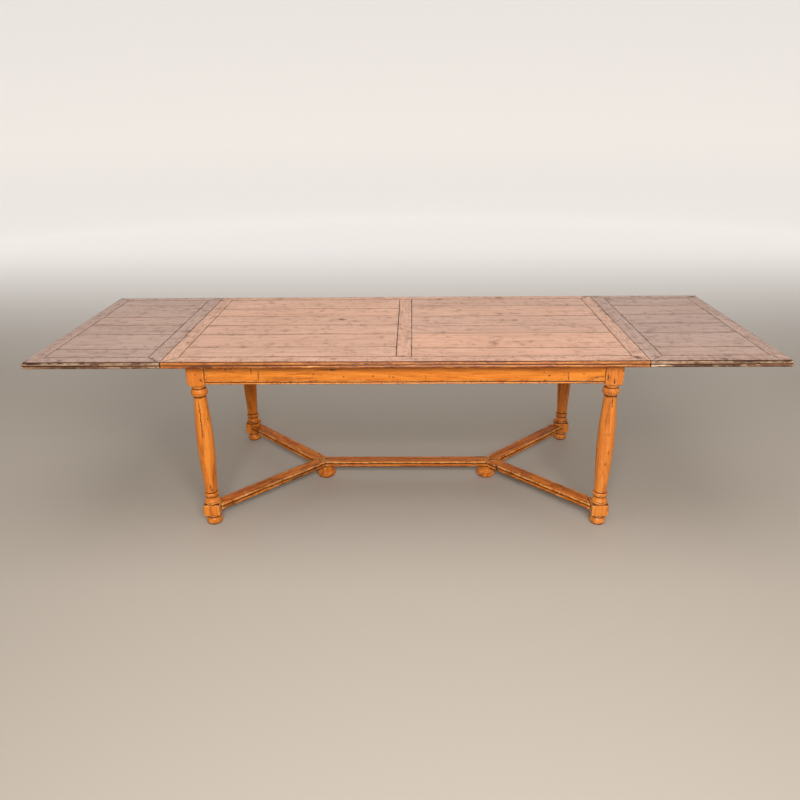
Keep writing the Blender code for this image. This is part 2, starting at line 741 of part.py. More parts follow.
def long_apron(end_name, end):
    """Front or back apron, tenoned into two legs and housed for the bearers."""
    name = f"apron_{end_name}"
    length = 2 * (LEG_X - LEG_BLOCK / 2 - GAP)
    centre = (0, end * APRON_Y, FRAME_TOP - APRON_HEIGHT / 2)
    piece = moulding(name, apron_section(end), length, centre)
    for side_name, side in SIDES:
        join(piece, mortise_and_tenon(f"{name}_tenon_{side_name}", side, end, "X", 0))
    for label, x in bearer_places():
        cut(piece, bearer_tenon(f"{name}_housing_{label}", x, end, GAP))
    finish_part(piece, "base")


def end_apron(side_name, side):
    """Left or right apron, tenoned into two legs and notched for two lopers."""
    name = f"apron_{side_name}"
    length = 2 * (LEG_Y - LEG_BLOCK / 2 - GAP)
    centre = (side * APRON_X, 0, FRAME_TOP - APRON_HEIGHT / 2)
    piece = moulding(name, apron_section(-side), length, centre, math.radians(90))
    for end_name, end in ENDS:
        join(piece, mortise_and_tenon(f"{name}_tenon_{end_name}", side, end, "Y", 0))
        middle = end * LOPER_Y
        half = LOPER_WIDTH / 2 + RUN_CLEARANCE
        cut(piece, box(
            f"{name}_loper_notch_{end_name}",
            (side * APRON_X - APRON_THICKNESS, middle - half, TROUGH_TOP_OF_FLOOR),
            (side * APRON_X + APRON_THICKNESS, middle + half, FRAME_TOP + OVERLAP),
        ))
    finish_part(piece, "base")


def corner_block(side_name, side, end_name, end):
    """Diagonal block between two aprons, with the bolt that draws the leg in."""
    name = f"corner_block_{end_name}_{side_name}"
    apron_x = APRON_X - APRON_THICKNESS / 2 - GAP
    apron_y = APRON_Y - APRON_THICKNESS / 2 - GAP
    quadrant = [(CORNER_SUM - apron_y, apron_y), (CORNER_INNER_SUM - apron_y, apron_y),
                (apron_x, CORNER_INNER_SUM - apron_x), (apron_x, CORNER_SUM - apron_x)]
    outline = counter_clockwise([(side * x, end * y) for x, y in quadrant])
    middle = FRAME_TOP - APRON_HEIGHT / 2
    block = footprint(
        name, outline, middle - CORNER_BLOCK_HEIGHT / 2, middle + CORNER_BLOCK_HEIGHT / 2
    )
    cut(block, bolt_hole(f"{name}_hole", side, end))
    finish_part(block, "inner")

    corner, inwards = bolt_line(side, end)
    seat = corner - inwards * (CORNER_BLOCK_THICKNESS + 2 * math.sqrt(2) * GAP)
    bolt_name = f"leg_bolt_{end_name}_{side_name}"
    shank = cylinder(bolt_name, BOLT_RADIUS, seat - inwards * WASHER_THICKNESS / 2,
                     corner + inwards * BOLT_IN_LEG, 12)
    washer = cylinder(f"{bolt_name}_washer", WASHER_RADIUS, seat - inwards * WASHER_THICKNESS, seat, 20)
    head_end = seat - inwards * (WASHER_THICKNESS + BOLT_HEAD_HEIGHT)
    head = cylinder(f"{bolt_name}_head", BOLT_HEAD_RADIUS, head_end,
                    seat - inwards * WASHER_THICKNESS / 2, 6)
    join(shank, washer, head)
    finish_part(shank, "steel")


# -------------------------------------------------------------- stretchers

def stretcher_section():
    """Return a stretcher's section (across, up): an eased flat band, a quirk and a bead."""
    half = STRETCHER_WIDTH / 2
    top = STRETCHER_THICKNESS / 2
    radius = (STRETCHER_THICKNESS - STRETCHER_BAND - STRETCHER_QUIRK_HEIGHT) / 2
    right = [
        *arc((half - radius, radius - top), radius, radius, -90, 50, 6),
        (half - STRETCHER_QUIRK, top - STRETCHER_BAND - STRETCHER_QUIRK_HEIGHT / 2),
        (half - GAP, top - STRETCHER_BAND),
        (half, top - STRETCHER_ARRIS), (half - STRETCHER_ARRIS, top),
    ]
    return right + [(-across, up) for across, up in right[::-1]]


def stem_hole(side_name, side):
    """Make the cutter for the stem of a middle foot."""
    x = side * (NODE_X - MID_FOOT_INSET)
    return cylinder(f"stem_hole_{side_name}", STEM_RADIUS + GAP, (x, 0, STRETCHER_BOTTOM - OVERLAP),
                    (x, 0, STRETCHER_BOTTOM + STEM_LENGTH + 2 * GAP))


def y_joint():
    """Return the plan points of the right-hand joint of the stretchers.

    They are its middle, the corner between the middle stretcher and an arm, and the
    corner between the two arms. The arms run at 45 degrees.
    """
    half = STRETCHER_WIDTH / 2
    inner_corner = (NODE_X - half * math.tan(math.radians(22.5)), half)
    outer_corner = (NODE_X + half * math.sqrt(2), 0.0)
    return (NODE_X, 0.0), inner_corner, outer_corner


def middle_stretcher(holes):
    """Middle stretcher, pointed at both ends between its two arms."""
    tip, corner, _ = y_joint()
    outline = [(-tip[0], 0), (-corner[0], -corner[1]), (corner[0], -corner[1]),
               tip, corner, (-corner[0], corner[1])]
    outline = inset(outline, GAP / 2)
    piece = footprint("stretcher_middle", outline, STRETCHER_BOTTOM - OVERLAP, STRETCHER_TOP + OVERLAP)
    centre_z = STRETCHER_TOP - STRETCHER_THICKNESS / 2
    keep_inside(piece, moulding("stretcher_middle_bar", stretcher_section(),
                                2 * (NODE_X + OVERLAP), (0, 0, centre_z)))
    cut(piece, *holes.values())
    finish_part(piece, "base")


def stretcher_arm(side_name, side, end_name, end, hole):
    """Diagonal arm from the joint to the inner corner of a leg's low block."""
    name = f"stretcher_arm_{end_name}_{side_name}"
    tip, corner, outer_corner = y_joint()
    reach = LEG_Y + LEG_BLOCK
    far_inner = (corner[0] + reach, corner[1] + reach)
    far_outer = (outer_corner[0] + reach, outer_corner[1] + reach)
    outline = [tip, outer_corner, far_outer, far_inner, corner]
    outline = counter_clockwise([(side * x, end * y) for x, y in outline])
    piece = footprint(name, inset(outline, GAP / 2), STRETCHER_BOTTOM - OVERLAP, STRETCHER_TOP + OVERLAP)
    length = math.sqrt(2) * (LEG_Y + 2 * STRETCHER_WIDTH)
    middle = ((NODE_X + LEG_X) / 2 * side, LEG_Y / 2 * end, STRETCHER_TOP - STRETCHER_THICKNESS / 2)
    bar = moulding(f"{name}_bar", stretcher_section(), length, middle, math.radians(45) * side * end)
    keep_inside(piece, bar)
    half = LEG_BLOCK / 2 + GAP
    notch = box(
        f"{name}_leg_notch", (-half, -half, 0),
        (half + STRETCHER_WIDTH, half + STRETCHER_WIDTH, STRETCHER_TOP + OVERLAP),
    )
    notch.location.x = side * (LEG_X + STRETCHER_WIDTH / 2)
    notch.location.y = end * (LEG_Y + STRETCHER_WIDTH / 2)
    cut(piece, notch, hole)
    finish_part(piece, "base")


def middle_foot(side_name, side):
    """Bun foot under a stretcher joint, with a stem up into it."""
    top = STRETCHER_BOTTOM - GAP
    sides = [(MID_FOOT_RADIUS - inwards, top * height) for height, inwards in BUN]
    bun = flowing([(MID_FOOT_NECK, top), *sides], 2)
    stem_top = STRETCHER_BOTTOM + STEM_LENGTH
    profile = [(0, stem_top), (STEM_RADIUS, stem_top), (STEM_RADIUS, top), *bun, (0, 0)]
    place = (side * (NODE_X - MID_FOOT_INSET), 0, 0)
    finish_part(turned(f"middle_foot_{side_name}", profile, place, FOOT_STEPS), "base")


# ------------------------------------------------- lopers and understructure

def bearer_places():
    """Return the label and X place of each cross bearer."""
    return ("left", -BEARER_OFFSET), ("centre", 0.0), ("right", BEARER_OFFSET)


def bearer_tenon(name, x, end, clearance):
    """Make a bearer's stub tenon (or, with clearance, its housing) at one apron."""
    half = BEARER_TENON_THICKNESS / 2 + clearance
    inner_face = APRON_Y - APRON_THICKNESS / 2
    tool = box(
        name,
        (x - half, inner_face - OVERLAP, FRAME_TOP - BEARER_HEIGHT + BEARER_SHOULDER - clearance),
        (x + half, inner_face + BEARER_TENON + clearance, FRAME_TOP - BEARER_SHOULDER + clearance),
    )
    tool.location.y *= end
    return tool


def cross_bearer(label, x):
    """Board across the frame under the top, notched for the troughs it carries."""
    name = f"cross_bearer_{label}"
    half_length = APRON_Y - APRON_THICKNESS / 2 - GAP
    half = BEARER_THICKNESS / 2
    bearer = box(name, (x - half, -half_length, FRAME_TOP - BEARER_HEIGHT),
                 (x + half, half_length, FRAME_TOP))
    for end_name, end in ENDS:
        join(bearer, bearer_tenon(f"{name}_tenon_{end_name}", x, end, 0))
        if x != 0:
            middle = end * LOPER_Y
            cut(bearer, box(
                f"{name}_trough_notch_{end_name}",
                (x - 2 * half, middle - TROUGH_HALF - GAP, TROUGH_BOTTOM - GAP),
                (x + 2 * half, middle + TROUGH_HALF + GAP, FRAME_TOP + OVERLAP),
            ))
    finish_part(bearer, "inner")


def loper_set(side_name, side, end_name, end):
    """Trough under the top, the loper that slides in it and the loper's stop dowel."""
    label = f"{end_name}_{side_name}"
    middle = end * LOPER_Y
    stored_stop = LOPER_INNER + STOP_INSET
    drawn_stop = stored_stop + LOPER_TRAVEL

    def sided_box(name, low_x, high_x, half_y, low_z, high_z, arris=0.0):
        low, high = sorted((side * low_x, side * high_x))
        return box(name, (low, middle - half_y, low_z), (high, middle + half_y, high_z), arris)

    trough = sided_box(f"trough_{label}", BEARER_THICKNESS / 2 + GAP,
                       APRON_X - APRON_THICKNESS / 2 - GAP, TROUGH_HALF, TROUGH_BOTTOM, FRAME_TOP)
    cut(
        trough,
        sided_box(f"trough_{label}_channel", 0, APRON_X, LOPER_WIDTH / 2 + RUN_CLEARANCE,
                  TROUGH_TOP_OF_FLOOR, FRAME_TOP + OVERLAP),
        sided_box(f"trough_{label}_slot", stored_stop - STOP_RADIUS - RUN_CLEARANCE,
                  drawn_stop + STOP_RADIUS + RUN_CLEARANCE, STOP_RADIUS + RUN_CLEARANCE,
                  TROUGH_BOTTOM - OVERLAP, TROUGH_TOP_OF_FLOOR + OVERLAP),
    )
    finish_part(trough, "inner")

    tip = LOPER_STORED_TIP + LOPER_TRAVEL
    centre_z = LOPER_BOTTOM + LOPER_HEIGHT / 2
    slide = slide_origin(f"loper_{label}_slide", (side * tip, middle, centre_z))
    loper = sided_box(f"loper_{label}", tip - LOPER_LENGTH, tip, LOPER_WIDTH / 2,
                      LOPER_BOTTOM, FRAME_TOP, ARRIS)
    notch_x = side * (tip - FINGER_NOTCH_INSET)
    stop_x = side * drawn_stop
    cut(
        loper,
        cylinder(f"loper_{label}_finger_notch", FINGER_NOTCH,
                 (notch_x, middle - LOPER_WIDTH, LOPER_BOTTOM),
                 (notch_x, middle + LOPER_WIDTH, LOPER_BOTTOM)),
        cylinder(f"loper_{label}_stop_hole", STOP_RADIUS + GAP,
                 (stop_x, middle, LOPER_BOTTOM - OVERLAP), (stop_x, middle, FRAME_TOP + OVERLAP)),
    )
    finish_part(loper, "inner", slide)
    stop = cylinder(f"stop_dowel_{label}", STOP_RADIUS, (stop_x, middle, TROUGH_BOTTOM + 3 * GAP),
                    (stop_x, middle, FRAME_TOP - 3 * GAP))
    finish_part(stop, "dowel", slide)


# ---------------------------------------------------------------- assembly

main_top()
for left_or_right, x_sign in SIDES:
    leaf(left_or_right, x_sign)
    end_apron(left_or_right, x_sign)
    middle_foot(left_or_right, x_sign)
for front_or_back, y_sign in ENDS:
    long_apron(front_or_back, y_sign)
stem_holes = {label: stem_hole(label, sign) for label, sign in SIDES}
middle_stretcher(stem_holes)
for left_or_right, x_sign in SIDES:
    for front_or_back, y_sign in ENDS:
        leg(left_or_right, x_sign, front_or_back, y_sign)
        corner_block(left_or_right, x_sign, front_or_back, y_sign)
        stretcher_arm(left_or_right, x_sign, front_or_back, y_sign, stem_holes[left_or_right])
        loper_set(left_or_right, x_sign, front_or_back, y_sign)
for bearer_label, bearer_x in bearer_places():
    cross_bearer(bearer_label, bearer_x)
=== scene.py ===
"""Looks for the extendable dining table: a framed plank top with two end leaves, on turned
legs joined by a low double-Y stretcher, in honey-stained, dark-glazed and hand-worn timber.
"""
import math

import bmesh
import bpy
import numpy as np
from mathutils import Matrix, Vector


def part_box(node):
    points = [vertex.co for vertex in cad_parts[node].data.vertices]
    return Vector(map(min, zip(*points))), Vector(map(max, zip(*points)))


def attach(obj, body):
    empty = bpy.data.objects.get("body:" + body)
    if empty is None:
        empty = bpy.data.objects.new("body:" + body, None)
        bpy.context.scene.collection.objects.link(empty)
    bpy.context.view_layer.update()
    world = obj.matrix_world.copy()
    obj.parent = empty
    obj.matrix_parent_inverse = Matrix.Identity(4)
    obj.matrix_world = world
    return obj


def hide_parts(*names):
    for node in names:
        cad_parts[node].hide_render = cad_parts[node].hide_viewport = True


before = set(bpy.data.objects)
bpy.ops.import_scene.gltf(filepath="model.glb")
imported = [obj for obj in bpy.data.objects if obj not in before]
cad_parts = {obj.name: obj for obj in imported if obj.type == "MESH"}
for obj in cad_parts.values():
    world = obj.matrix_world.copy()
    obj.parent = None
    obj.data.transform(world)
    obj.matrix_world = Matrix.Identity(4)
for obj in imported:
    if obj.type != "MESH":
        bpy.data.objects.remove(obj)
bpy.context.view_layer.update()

# ------------------------------------------------------------------ studio
# The table stands on a plain pale floor that sweeps up into a round wall. Behind the table
# they glow softly, so that the background stays even. A large soft light hangs over the
# viewer's head and a second one above the table.

FLOOR_RADIUS = 9.0
FLOOR_SIDES = 96
SWEEP_RADIUS = 1.2
WALL_HEIGHT = 7.0
SWEEP_STEPS = 10
FLOOR_COLOUR = (0.52, 0.45, 0.375, 1.0)
FLOOR_ROUGHNESS = 0.7
GLOW = 0.56
GLOW_START = 0.8
GLOW_FULL = 6.5
SURROUND = 0.23
WHITE = (1.0, 1.0, 1.0, 1.0)
EYE = Vector((0.0386, -3.1114, 1.6546))
GAZE = Vector((-0.01912988, 0.92675806, -0.37517136))
EYE_RIGHT = Vector((0.99981374, 0.01677209, -0.00954937))
LENS = 32.30


def clear_bench():
    """Leave edit mode and let go of everything."""
    if bpy.context.object and bpy.context.object.mode != "OBJECT":
        bpy.ops.object.mode_set(mode="OBJECT")
    bpy.ops.object.select_all(action="DESELECT")


clear_bench()
bpy.ops.mesh.primitive_circle_add(vertices=FLOOR_SIDES, radius=FLOOR_RADIUS, fill_type="NGON")
studio_floor = bpy.context.object
studio_floor.name = "studio_floor"
bpy.ops.object.mode_set(mode="EDIT")
bpy.ops.mesh.select_mode(type="EDGE")
bpy.ops.mesh.select_all(action="SELECT")
radius, height = FLOOR_RADIUS, 0.0
for step in range(1, SWEEP_STEPS + 2):
    turn = math.radians(90) * min(step, SWEEP_STEPS) / SWEEP_STEPS
    wider = FLOOR_RADIUS + SWEEP_RADIUS * math.sin(turn)
    higher = SWEEP_RADIUS * (1 - math.cos(turn)) if step <= SWEEP_STEPS else WALL_HEIGHT
    bpy.ops.mesh.extrude_edges_move(TRANSFORM_OT_translate={"value": (0, 0, higher - height)})
    growth = wider / radius
    bpy.ops.transform.resize(value=(growth, growth, 1.0), center_override=(0, 0, 0))
    radius, height = wider, higher
bpy.ops.object.mode_set(mode="OBJECT")
bpy.ops.object.shade_smooth()
floor_paint = bpy.data.materials.new("pale_floor")
floor_paint.use_nodes = True
floor_nodes, floor_links = floor_paint.node_tree.nodes, floor_paint.node_tree.links
floor_shader = floor_nodes["Principled BSDF"]
floor_shader.inputs["Base Color"].default_value = FLOOR_COLOUR
floor_shader.inputs["Roughness"].default_value = FLOOR_ROUGHNESS
floor_shader.inputs["Emission Strength"].default_value = GLOW
floor_place = floor_nodes.new("ShaderNodeTexCoord")
floor_axes = floor_nodes.new("ShaderNodeSeparateXYZ")
glow_share = floor_nodes.new("ShaderNodeMapRange")
glow_share.interpolation_type = "SMOOTHSTEP"
glow_share.inputs["From Min"].default_value = GLOW_START
glow_share.inputs["From Max"].default_value = GLOW_FULL
floor_links.new(floor_place.outputs["Object"], floor_axes.inputs[0])
floor_links.new(floor_axes.outputs["Y"], glow_share.inputs["Value"])
floor_links.new(glow_share.outputs[0], floor_shader.inputs["Emission Color"])
studio_floor.data.materials.append(floor_paint)

surround = bpy.data.worlds.new("white_surround")
surround.use_nodes = True
background = surround.node_tree.nodes["Background"]
background.inputs["Color"].default_value = WHITE
background.inputs["Strength"].default_value = SURROUND
bpy.context.scene.world = surround
bpy.context.scene.view_settings.view_transform = "Standard"


def soft_light(name, place, target, width, depth, watts):
    """Hang a large soft light at a place and aim it at a target."""
    lamp = bpy.data.lights.new(name, "AREA")
    lamp.shape = "RECTANGLE"
    lamp.size = width
    lamp.size_y = depth
    lamp.energy = watts
    holder = bpy.data.objects.new(name, lamp)
    holder.location = place
    holder.rotation_mode = "QUATERNION"
    holder.rotation_quaternion = (Vector(target) - Vector(place)).to_track_quat("-Z", "Y")
    bpy.context.scene.collection.objects.link(holder)


soft_light(
    "front_light", place=(0.4, -4.3, 2.9), target=(0.0, 0.0, 0.55),
    width=2.6, depth=1.4, watts=192.0,
)
soft_light(
    "top_light", place=(0.0, -0.4, 3.4), target=(0.0, 0.0, 0.0),
    width=4.0, depth=2.6, watts=45.0,
)

up = EYE_RIGHT.cross(GAZE)
lens = bpy.data.cameras.new("viewer")
lens.lens = LENS
viewer = bpy.data.objects.new("viewer", lens)
viewer.matrix_world = Matrix((
    (EYE_RIGHT.x, up.x, -GAZE.x, EYE.x),
    (EYE_RIGHT.y, up.y, -GAZE.y, EYE.y),
    (EYE_RIGHT.z, up.z, -GAZE.z, EYE.z),
    (0.0, 0.0, 0.0, 1.0),
))
bpy.context.scene.collection.objects.link(viewer)
bpy.context.scene.camera = viewer

# ------------------------------------------------------- borders of the top
# Twelve solid boards frame the planks of the main top and of the two leaves. Their ends
# are mitred, and a step, an ovolo and a bead are run along the outer edges. Years of use
# have rubbed the arrises, which are painted paler still as a highlight, and dark glaze has
# stayed in the quirks and the open joints. A band of painted shade runs along the bottom of
# the mouldings, and a painted sheen makes the tops paler and pinker than their edges.

BOARD_PITCH = 0.009
JOINT_WIDTH = 0.0042
TIGHTER = 2.2
MERGE = 0.00001

front_low, front_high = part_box("main_top_border_front")
TABLE_TOP = front_high.z
TABLE_UNDER = front_low.z
HALF_WIDTH = -front_low.y


class Signal:
    """A socket in a finish. Arithmetic on it adds Math nodes to that finish."""

    def __init__(self, tree, socket):
        self.tree = tree
        self.socket = socket

    def node(self, kind, settings=None, sockets=None, output=0):
        """Add a node with its settings, then the values or links of its sockets."""
        made = self.tree.nodes.new(kind)
        for name, value in (settings or {}).items():
            setattr(made, name, value)
        for name, value in (sockets or {}).items():
            if isinstance(value, Signal):
                self.tree.links.new(value.socket, made.inputs[name])
            else:
                made.inputs[name].default_value = value
        return Signal(self.tree, made.outputs[output])

    def maths(self, operation, *values):
        """Add a Math node."""
        return self.node("ShaderNodeMath", {"operation": operation}, dict(enumerate(values)))

    def __add__(self, other):
        return self.maths("ADD", self, other)

    def __radd__(self, other):
        return self.maths("ADD", other, self)

    def __sub__(self, other):
        return self.maths("SUBTRACT", self, other)

    def __rsub__(self, other):
        return self.maths("SUBTRACT", other, self)

    def __mul__(self, other):
        return self.maths("MULTIPLY", self, other)

    def __rmul__(self, other):
        return self.maths("MULTIPLY", other, self)

    def larger(self, other):
        """Return the larger of this and another value."""
        return self.maths("MAXIMUM", self, other)

    def ramp(self, low, high):
        """Rise smoothly from 0 at low to 1 at high."""
        return self.node(
            "ShaderNodeMapRange", {"interpolation_type": "SMOOTHSTEP"},
            {"Value": self, "From Min": low, "From Max": high},
        )

    def tint(self, first, second):
        """Mix from the first colour, where this is 0, to the second, where it is 1."""
        return self.node(
            "ShaderNodeMix", {"data_type": "RGBA"}, {0: self, 6: first, 7: second}, 2
        )

    def placed(self, turn, along, across=1.0):
        """Turn a pattern's length to the grain, and then scale it along and across that."""
        turned_place = self.node("ShaderNodeMapping", None, {0: self, 2: turn})
        scale = (along, across, across)
        return turned_place.node("ShaderNodeMapping", None, {0: turned_place, 3: scale})

    def noise(self, scale, detail, roughness=0.55, distortion=0.0):
        """Return a soft noise, about 0.5 on average."""
        return self.node("ShaderNodeTexNoise", {}, {
            "Vector": self, "Scale": scale, "Detail": detail,
            "Roughness": roughness, "Distortion": distortion,
        })

    def grained(self, turn, along, *noise):
        """Return a noise that is drawn out along the grain."""
        return self.placed(turn, along).noise(*noise)

    def scattered(self, turn, along, across, scale):
        """Return the distance to the nearest of a scatter of points."""
        spread = self.placed(turn, along, across)
        return self.node("ShaderNodeTexVoronoi", {}, {"Vector": spread, "Scale": scale})


ALONG_X = (0.0, 0.0, 0.0)
ALONG_Y = (0.0, 0.0, math.radians(90))
ALONG_Z = (0.0, math.radians(90), 0.0)


def colour(red, green, blue):
    """Return an opaque colour for a socket."""
    return (red, green, blue, 1.0)


# Patterns along the grain: scale along it, then the noise's scale, detail, roughness and
# distortion. The scuffs' own scale along the grain is part of each look.
STREAKS = (0.055, 62.0, 4.0, 0.62, 0.35)
YEAR_LINES = (0.10, 15.0, 2.0, 0.5, 1.2)
YEAR_COUNT = 34.0
PORES = (0.018, 330.0, 2.0, 0.6)
CHIPS = (0.55, 175.0, 2.0, 0.6)
SCUFFS = (75.0, 4.0, 0.75)

# Patterns that are the same every way: scale, detail and roughness
PATCHES = (4.2, 3.0, 0.5)
MOTTLE = (26.0, 3.0, 0.6)
RAGGED = (130.0, 2.0, 0.65)
SPECKLED_PLACES = (9.0, 1.0)
TICKED_PLACES = (3.1, 1.0)

# Scattered marks: scale along the grain, across it, and how close the marks are
SPECKS = (0.6, 1.0, 42.0)
TICKS = (2.6, 0.34, 9.5)
KNOTS = (0.6, 1.0, 2.9)

# Where each effect starts in its pattern, and where it is full
PALE_RANGE = (0.38, 0.66)
DARK_RANGE = (0.48, 0.31)
PORE_RANGE = (0.52, 0.36)
SPECK_FADE = 0.05
TICK_RANGE = (0.060, 0.030)
TICKED_RANGE = (0.50, 0.58)
HALO_RANGE = (0.13, 0.04)
KNOT_RANGE = (0.050, 0.022)
ARRIS_RANGE = (0.06, 0.26)
CHIP_RANGE = (0.57, 0.63)
SCUFFED_DARK = (0.44, 0.36)
SCUFFED_PALE = (0.60, 0.68)
RUBBED_RANGE = (0.16, 0.50)
GLAZED_RANGE = (0.11, 0.30)
QUIRK_GAPS = (0.74, 0.54)
FAINT_LINES = (0.82, 1.08)

# How much of each effect shows, from 0 to 1
PORE_SHARE = 0.35
HALO_SHARE = 0.18
MARK_SHARE = 0.85
GLAZE_AND_SHADE_SHARE = 0.92
BUMP_SHARE = 0.7
COAT_ROUGHNESS = 0.28


def timber(name, grain, look, edge_look=None, under_look=None, quirks_and_shade_bands=()):
    """Return a worn, glazed timber finish whose grain runs along the given direction.

    A look gives the tones of the timber, of its glaze, which also serves as painted shade,
    and of its rubbed arrises, which also serve as a painted highlight, the roughness, and how
    strong the marks and the grain are. A board of the top has a look of its own below the
    step of its moulding and another on its underside. Glaze fills the quirks, and painted
    shade fills the bands under the top; both are given as (height, half width).
    """
    material = bpy.data.materials.new(name)
    material.use_nodes = True
    tree = material.node_tree
    shader = tree.nodes["Principled BSDF"]
    place = Signal(tree, None).node("ShaderNodeTexCoord", output="Object")
    height = place.node("ShaderNodeSeparateXYZ", None, {0: place}, "Z")
    tone, hollow, stain, nearness = (
        place.node("ShaderNodeAttribute", {"attribute_name": kept}, output="Fac")
        for kept in ("tone", "hollow", "stain", "near_joint")
    )
    edge_zone = height.ramp(TABLE_TOP - 0.0010, TABLE_TOP - 0.0018)
    under_zone = height.ramp(TABLE_UNDER + 0.0016, TABLE_UNDER + 0.0006)

    def zoned(part):
        """Return one tone of the look, as it changes from the top to the edge and under."""
        value = look[part]
        if edge_look:
            value = edge_zone.tint(value, edge_look[part])
        if under_look:
            value = under_zone.tint(value, under_look[part])
        return value

    # The wood: pale and middle tones, dark streaks and pores
    streaks = place.grained(grain, *STREAKS)
    years = place.grained(grain, *YEAR_LINES) * YEAR_COUNT
    years = years.maths("SINE", years) * 0.5 + 0.5
    pores = place.grained(grain, *PORES)
    patches = place.noise(*PATCHES)
    mottle = place.noise(*MOTTLE)
    uneven = mottle - 0.5
    light = (streaks * 0.50 + patches * 0.34 + years * 0.16).ramp(*PALE_RANGE)
    surface = light.tint(zoned("middle"), zoned("pale"))
    dark_streak = (streaks * 0.8 + mottle * 0.2).ramp(*DARK_RANGE) * look["grain"]
    surface = dark_streak.tint(surface, zoned("dark"))
    open_pore = pores.ramp(*PORE_RANGE) * PORE_SHARE * look["grain"]
    surface = open_pore.tint(surface, zoned("dark"))
    surface = surface.node("ShaderNodeHueSaturation", {}, {
        "Color": surface, "Value": 1.0 + tone * look["tone"],
        "Saturation": 1.0 + tone * look["tone"] * 0.6,
    })

    # The marks: specks, ticks, knots, and chips along the arrises
    speck = place.scattered(grain, *SPECKS).ramp(look["speck"], look["speck"] * 0.5)
    speckled = place.noise(*SPECKLED_PLACES).ramp(look["rarity"], look["rarity"] + SPECK_FADE)
    tick = place.scattered(grain, *TICKS).ramp(*TICK_RANGE)
    tick = tick * place.noise(*TICKED_PLACES).ramp(*TICKED_RANGE) * look["ticks"]
    knots = place.scattered(grain, *KNOTS) + uneven * 0.05
    halo = knots.ramp(*HALO_RANGE) * HALO_SHARE
    surface = (halo * look["marks"]).tint(surface, zoned("dark"))
    arris = hollow.maths("ABSOLUTE", hollow).ramp(*ARRIS_RANGE)
    if edge_look:
        arris = arris.larger(edge_zone * 0.8)
    chips = place.grained(grain, *CHIPS).ramp(*CHIP_RANGE) * arris
    marks = (speck * speckled).larger(tick).larger(knots.ramp(*KNOT_RANGE)).larger(chips)
    marks = marks * look["marks"]
    surface = (marks * MARK_SHARE).tint(surface, zoned("glaze_and_shade"))

    # The wear and a painted highlight: scuffs, and wood rubbed bare where the surface stands
    # proud, which is painted paler still as a highlight along the arrises
    scuff = place.grained(grain, look["stretch"], *SCUFFS)
    scuffed = look["scuffs"]
    if edge_look:
        scuffed = edge_zone * (1.0 - scuffed) + scuffed
    surface = (scuff.ramp(*SCUFFED_DARK) * scuffed).tint(surface, zoned("dark"))
    surface = (scuff.ramp(*SCUFFED_PALE) * scuffed).tint(surface, zoned("rubbed_and_highlight"))
    rubbed_and_highlight = (hollow * -1.0 + uneven * 0.9 + (scuff - 0.5) * 0.8).ramp(*RUBBED_RANGE)
    surface = (rubbed_and_highlight * look["rubbed_and_highlight_share"]).tint(surface, zoned("rubbed_and_highlight"))

    # The glaze: in the hollows, in the quirks of the mouldings and in the joints, with painted
    # shade in the bands under the top
    glazed_and_shaded = (hollow + uneven * 0.26 + (patches - 0.5) * 0.16).ramp(*GLAZED_RANGE)
    for level, half in quirks_and_shade_bands:
        off = height - level + uneven * half
        off = off.maths("ABSOLUTE", off)
        glazed_and_shaded = glazed_and_shaded.larger(off.ramp(half, half * 0.45) * scuff.ramp(*QUIRK_GAPS))
    away = 1.0 - nearness + uneven * 0.0030 + (place.noise(*RAGGED) - 0.5) * 0.0100
    line = away.ramp(JOINT_WIDTH, JOINT_WIDTH * 0.30)
    line = line * ((patches + mottle).ramp(*FAINT_LINES) * 0.45 + 0.55) * look["line"]
    dark = glazed_and_shaded.larger(line).larger(stain)
    surface = (dark * GLAZE_AND_SHADE_SHARE).tint(surface, zoned("glaze_and_shade"))
    tree.links.new(surface.socket, shader.inputs["Base Color"])

    gloss = look["roughness"] + uneven * 0.16 + dark * 0.35 + marks * 0.35
    tree.links.new(gloss.socket, shader.inputs["Roughness"])
    relief = streaks * 0.35 + pores * 0.25 + mottle * 0.25 - marks * 1.6 - line * 0.8
    bump = relief.node("ShaderNodeBump", {}, {
        "Height": relief, "Distance": look["relief"], "Strength": BUMP_SHARE,
    })
    tree.links.new(bump.socket, shader.inputs["Normal"])
    shader.inputs["Specular IOR Level"].default_value = look["shine"]
    shader.inputs["Coat Weight"].default_value = look["coat"]
    shader.inputs["Coat Roughness"].default_value = COAT_ROUGHNESS
    return material


# The tops are paler and pinker than the honey orange of their edges: their tones hold a painted
# sheen, the pale glare of the satin finish.
MAIN_TOP_LOOK_WITH_SHEEN = {
    "pale": colour(0.735, 0.402, 0.268), "middle": colour(0.61, 0.318, 0.200),
    "dark": colour(0.38, 0.180, 0.104), "rubbed_and_highlight": colour(0.80, 0.470, 0.310),
    "glaze_and_shade": colour(0.095, 0.036, 0.018),
    "rubbed_and_highlight_share": 0.50, "roughness": 0.37, "coat": 0.12, "shine": 0.36, "relief": 0.0009,
    "scuffs": 0.10, "stretch": 0.10, "marks": 0.85, "ticks": 0.35, "speck": 0.16, "rarity": 0.575,
    "grain": 0.46, "tone": 0.07, "line": 1.0,
}
MAIN_EDGE_LOOK = {
    "pale": colour(0.56, 0.160, 0.026), "middle": colour(0.38, 0.092, 0.012),
    "dark": colour(0.13, 0.030, 0.005), "rubbed_and_highlight": colour(0.86, 0.35, 0.07),
    "glaze_and_shade": colour(0.085, 0.023, 0.006),
}
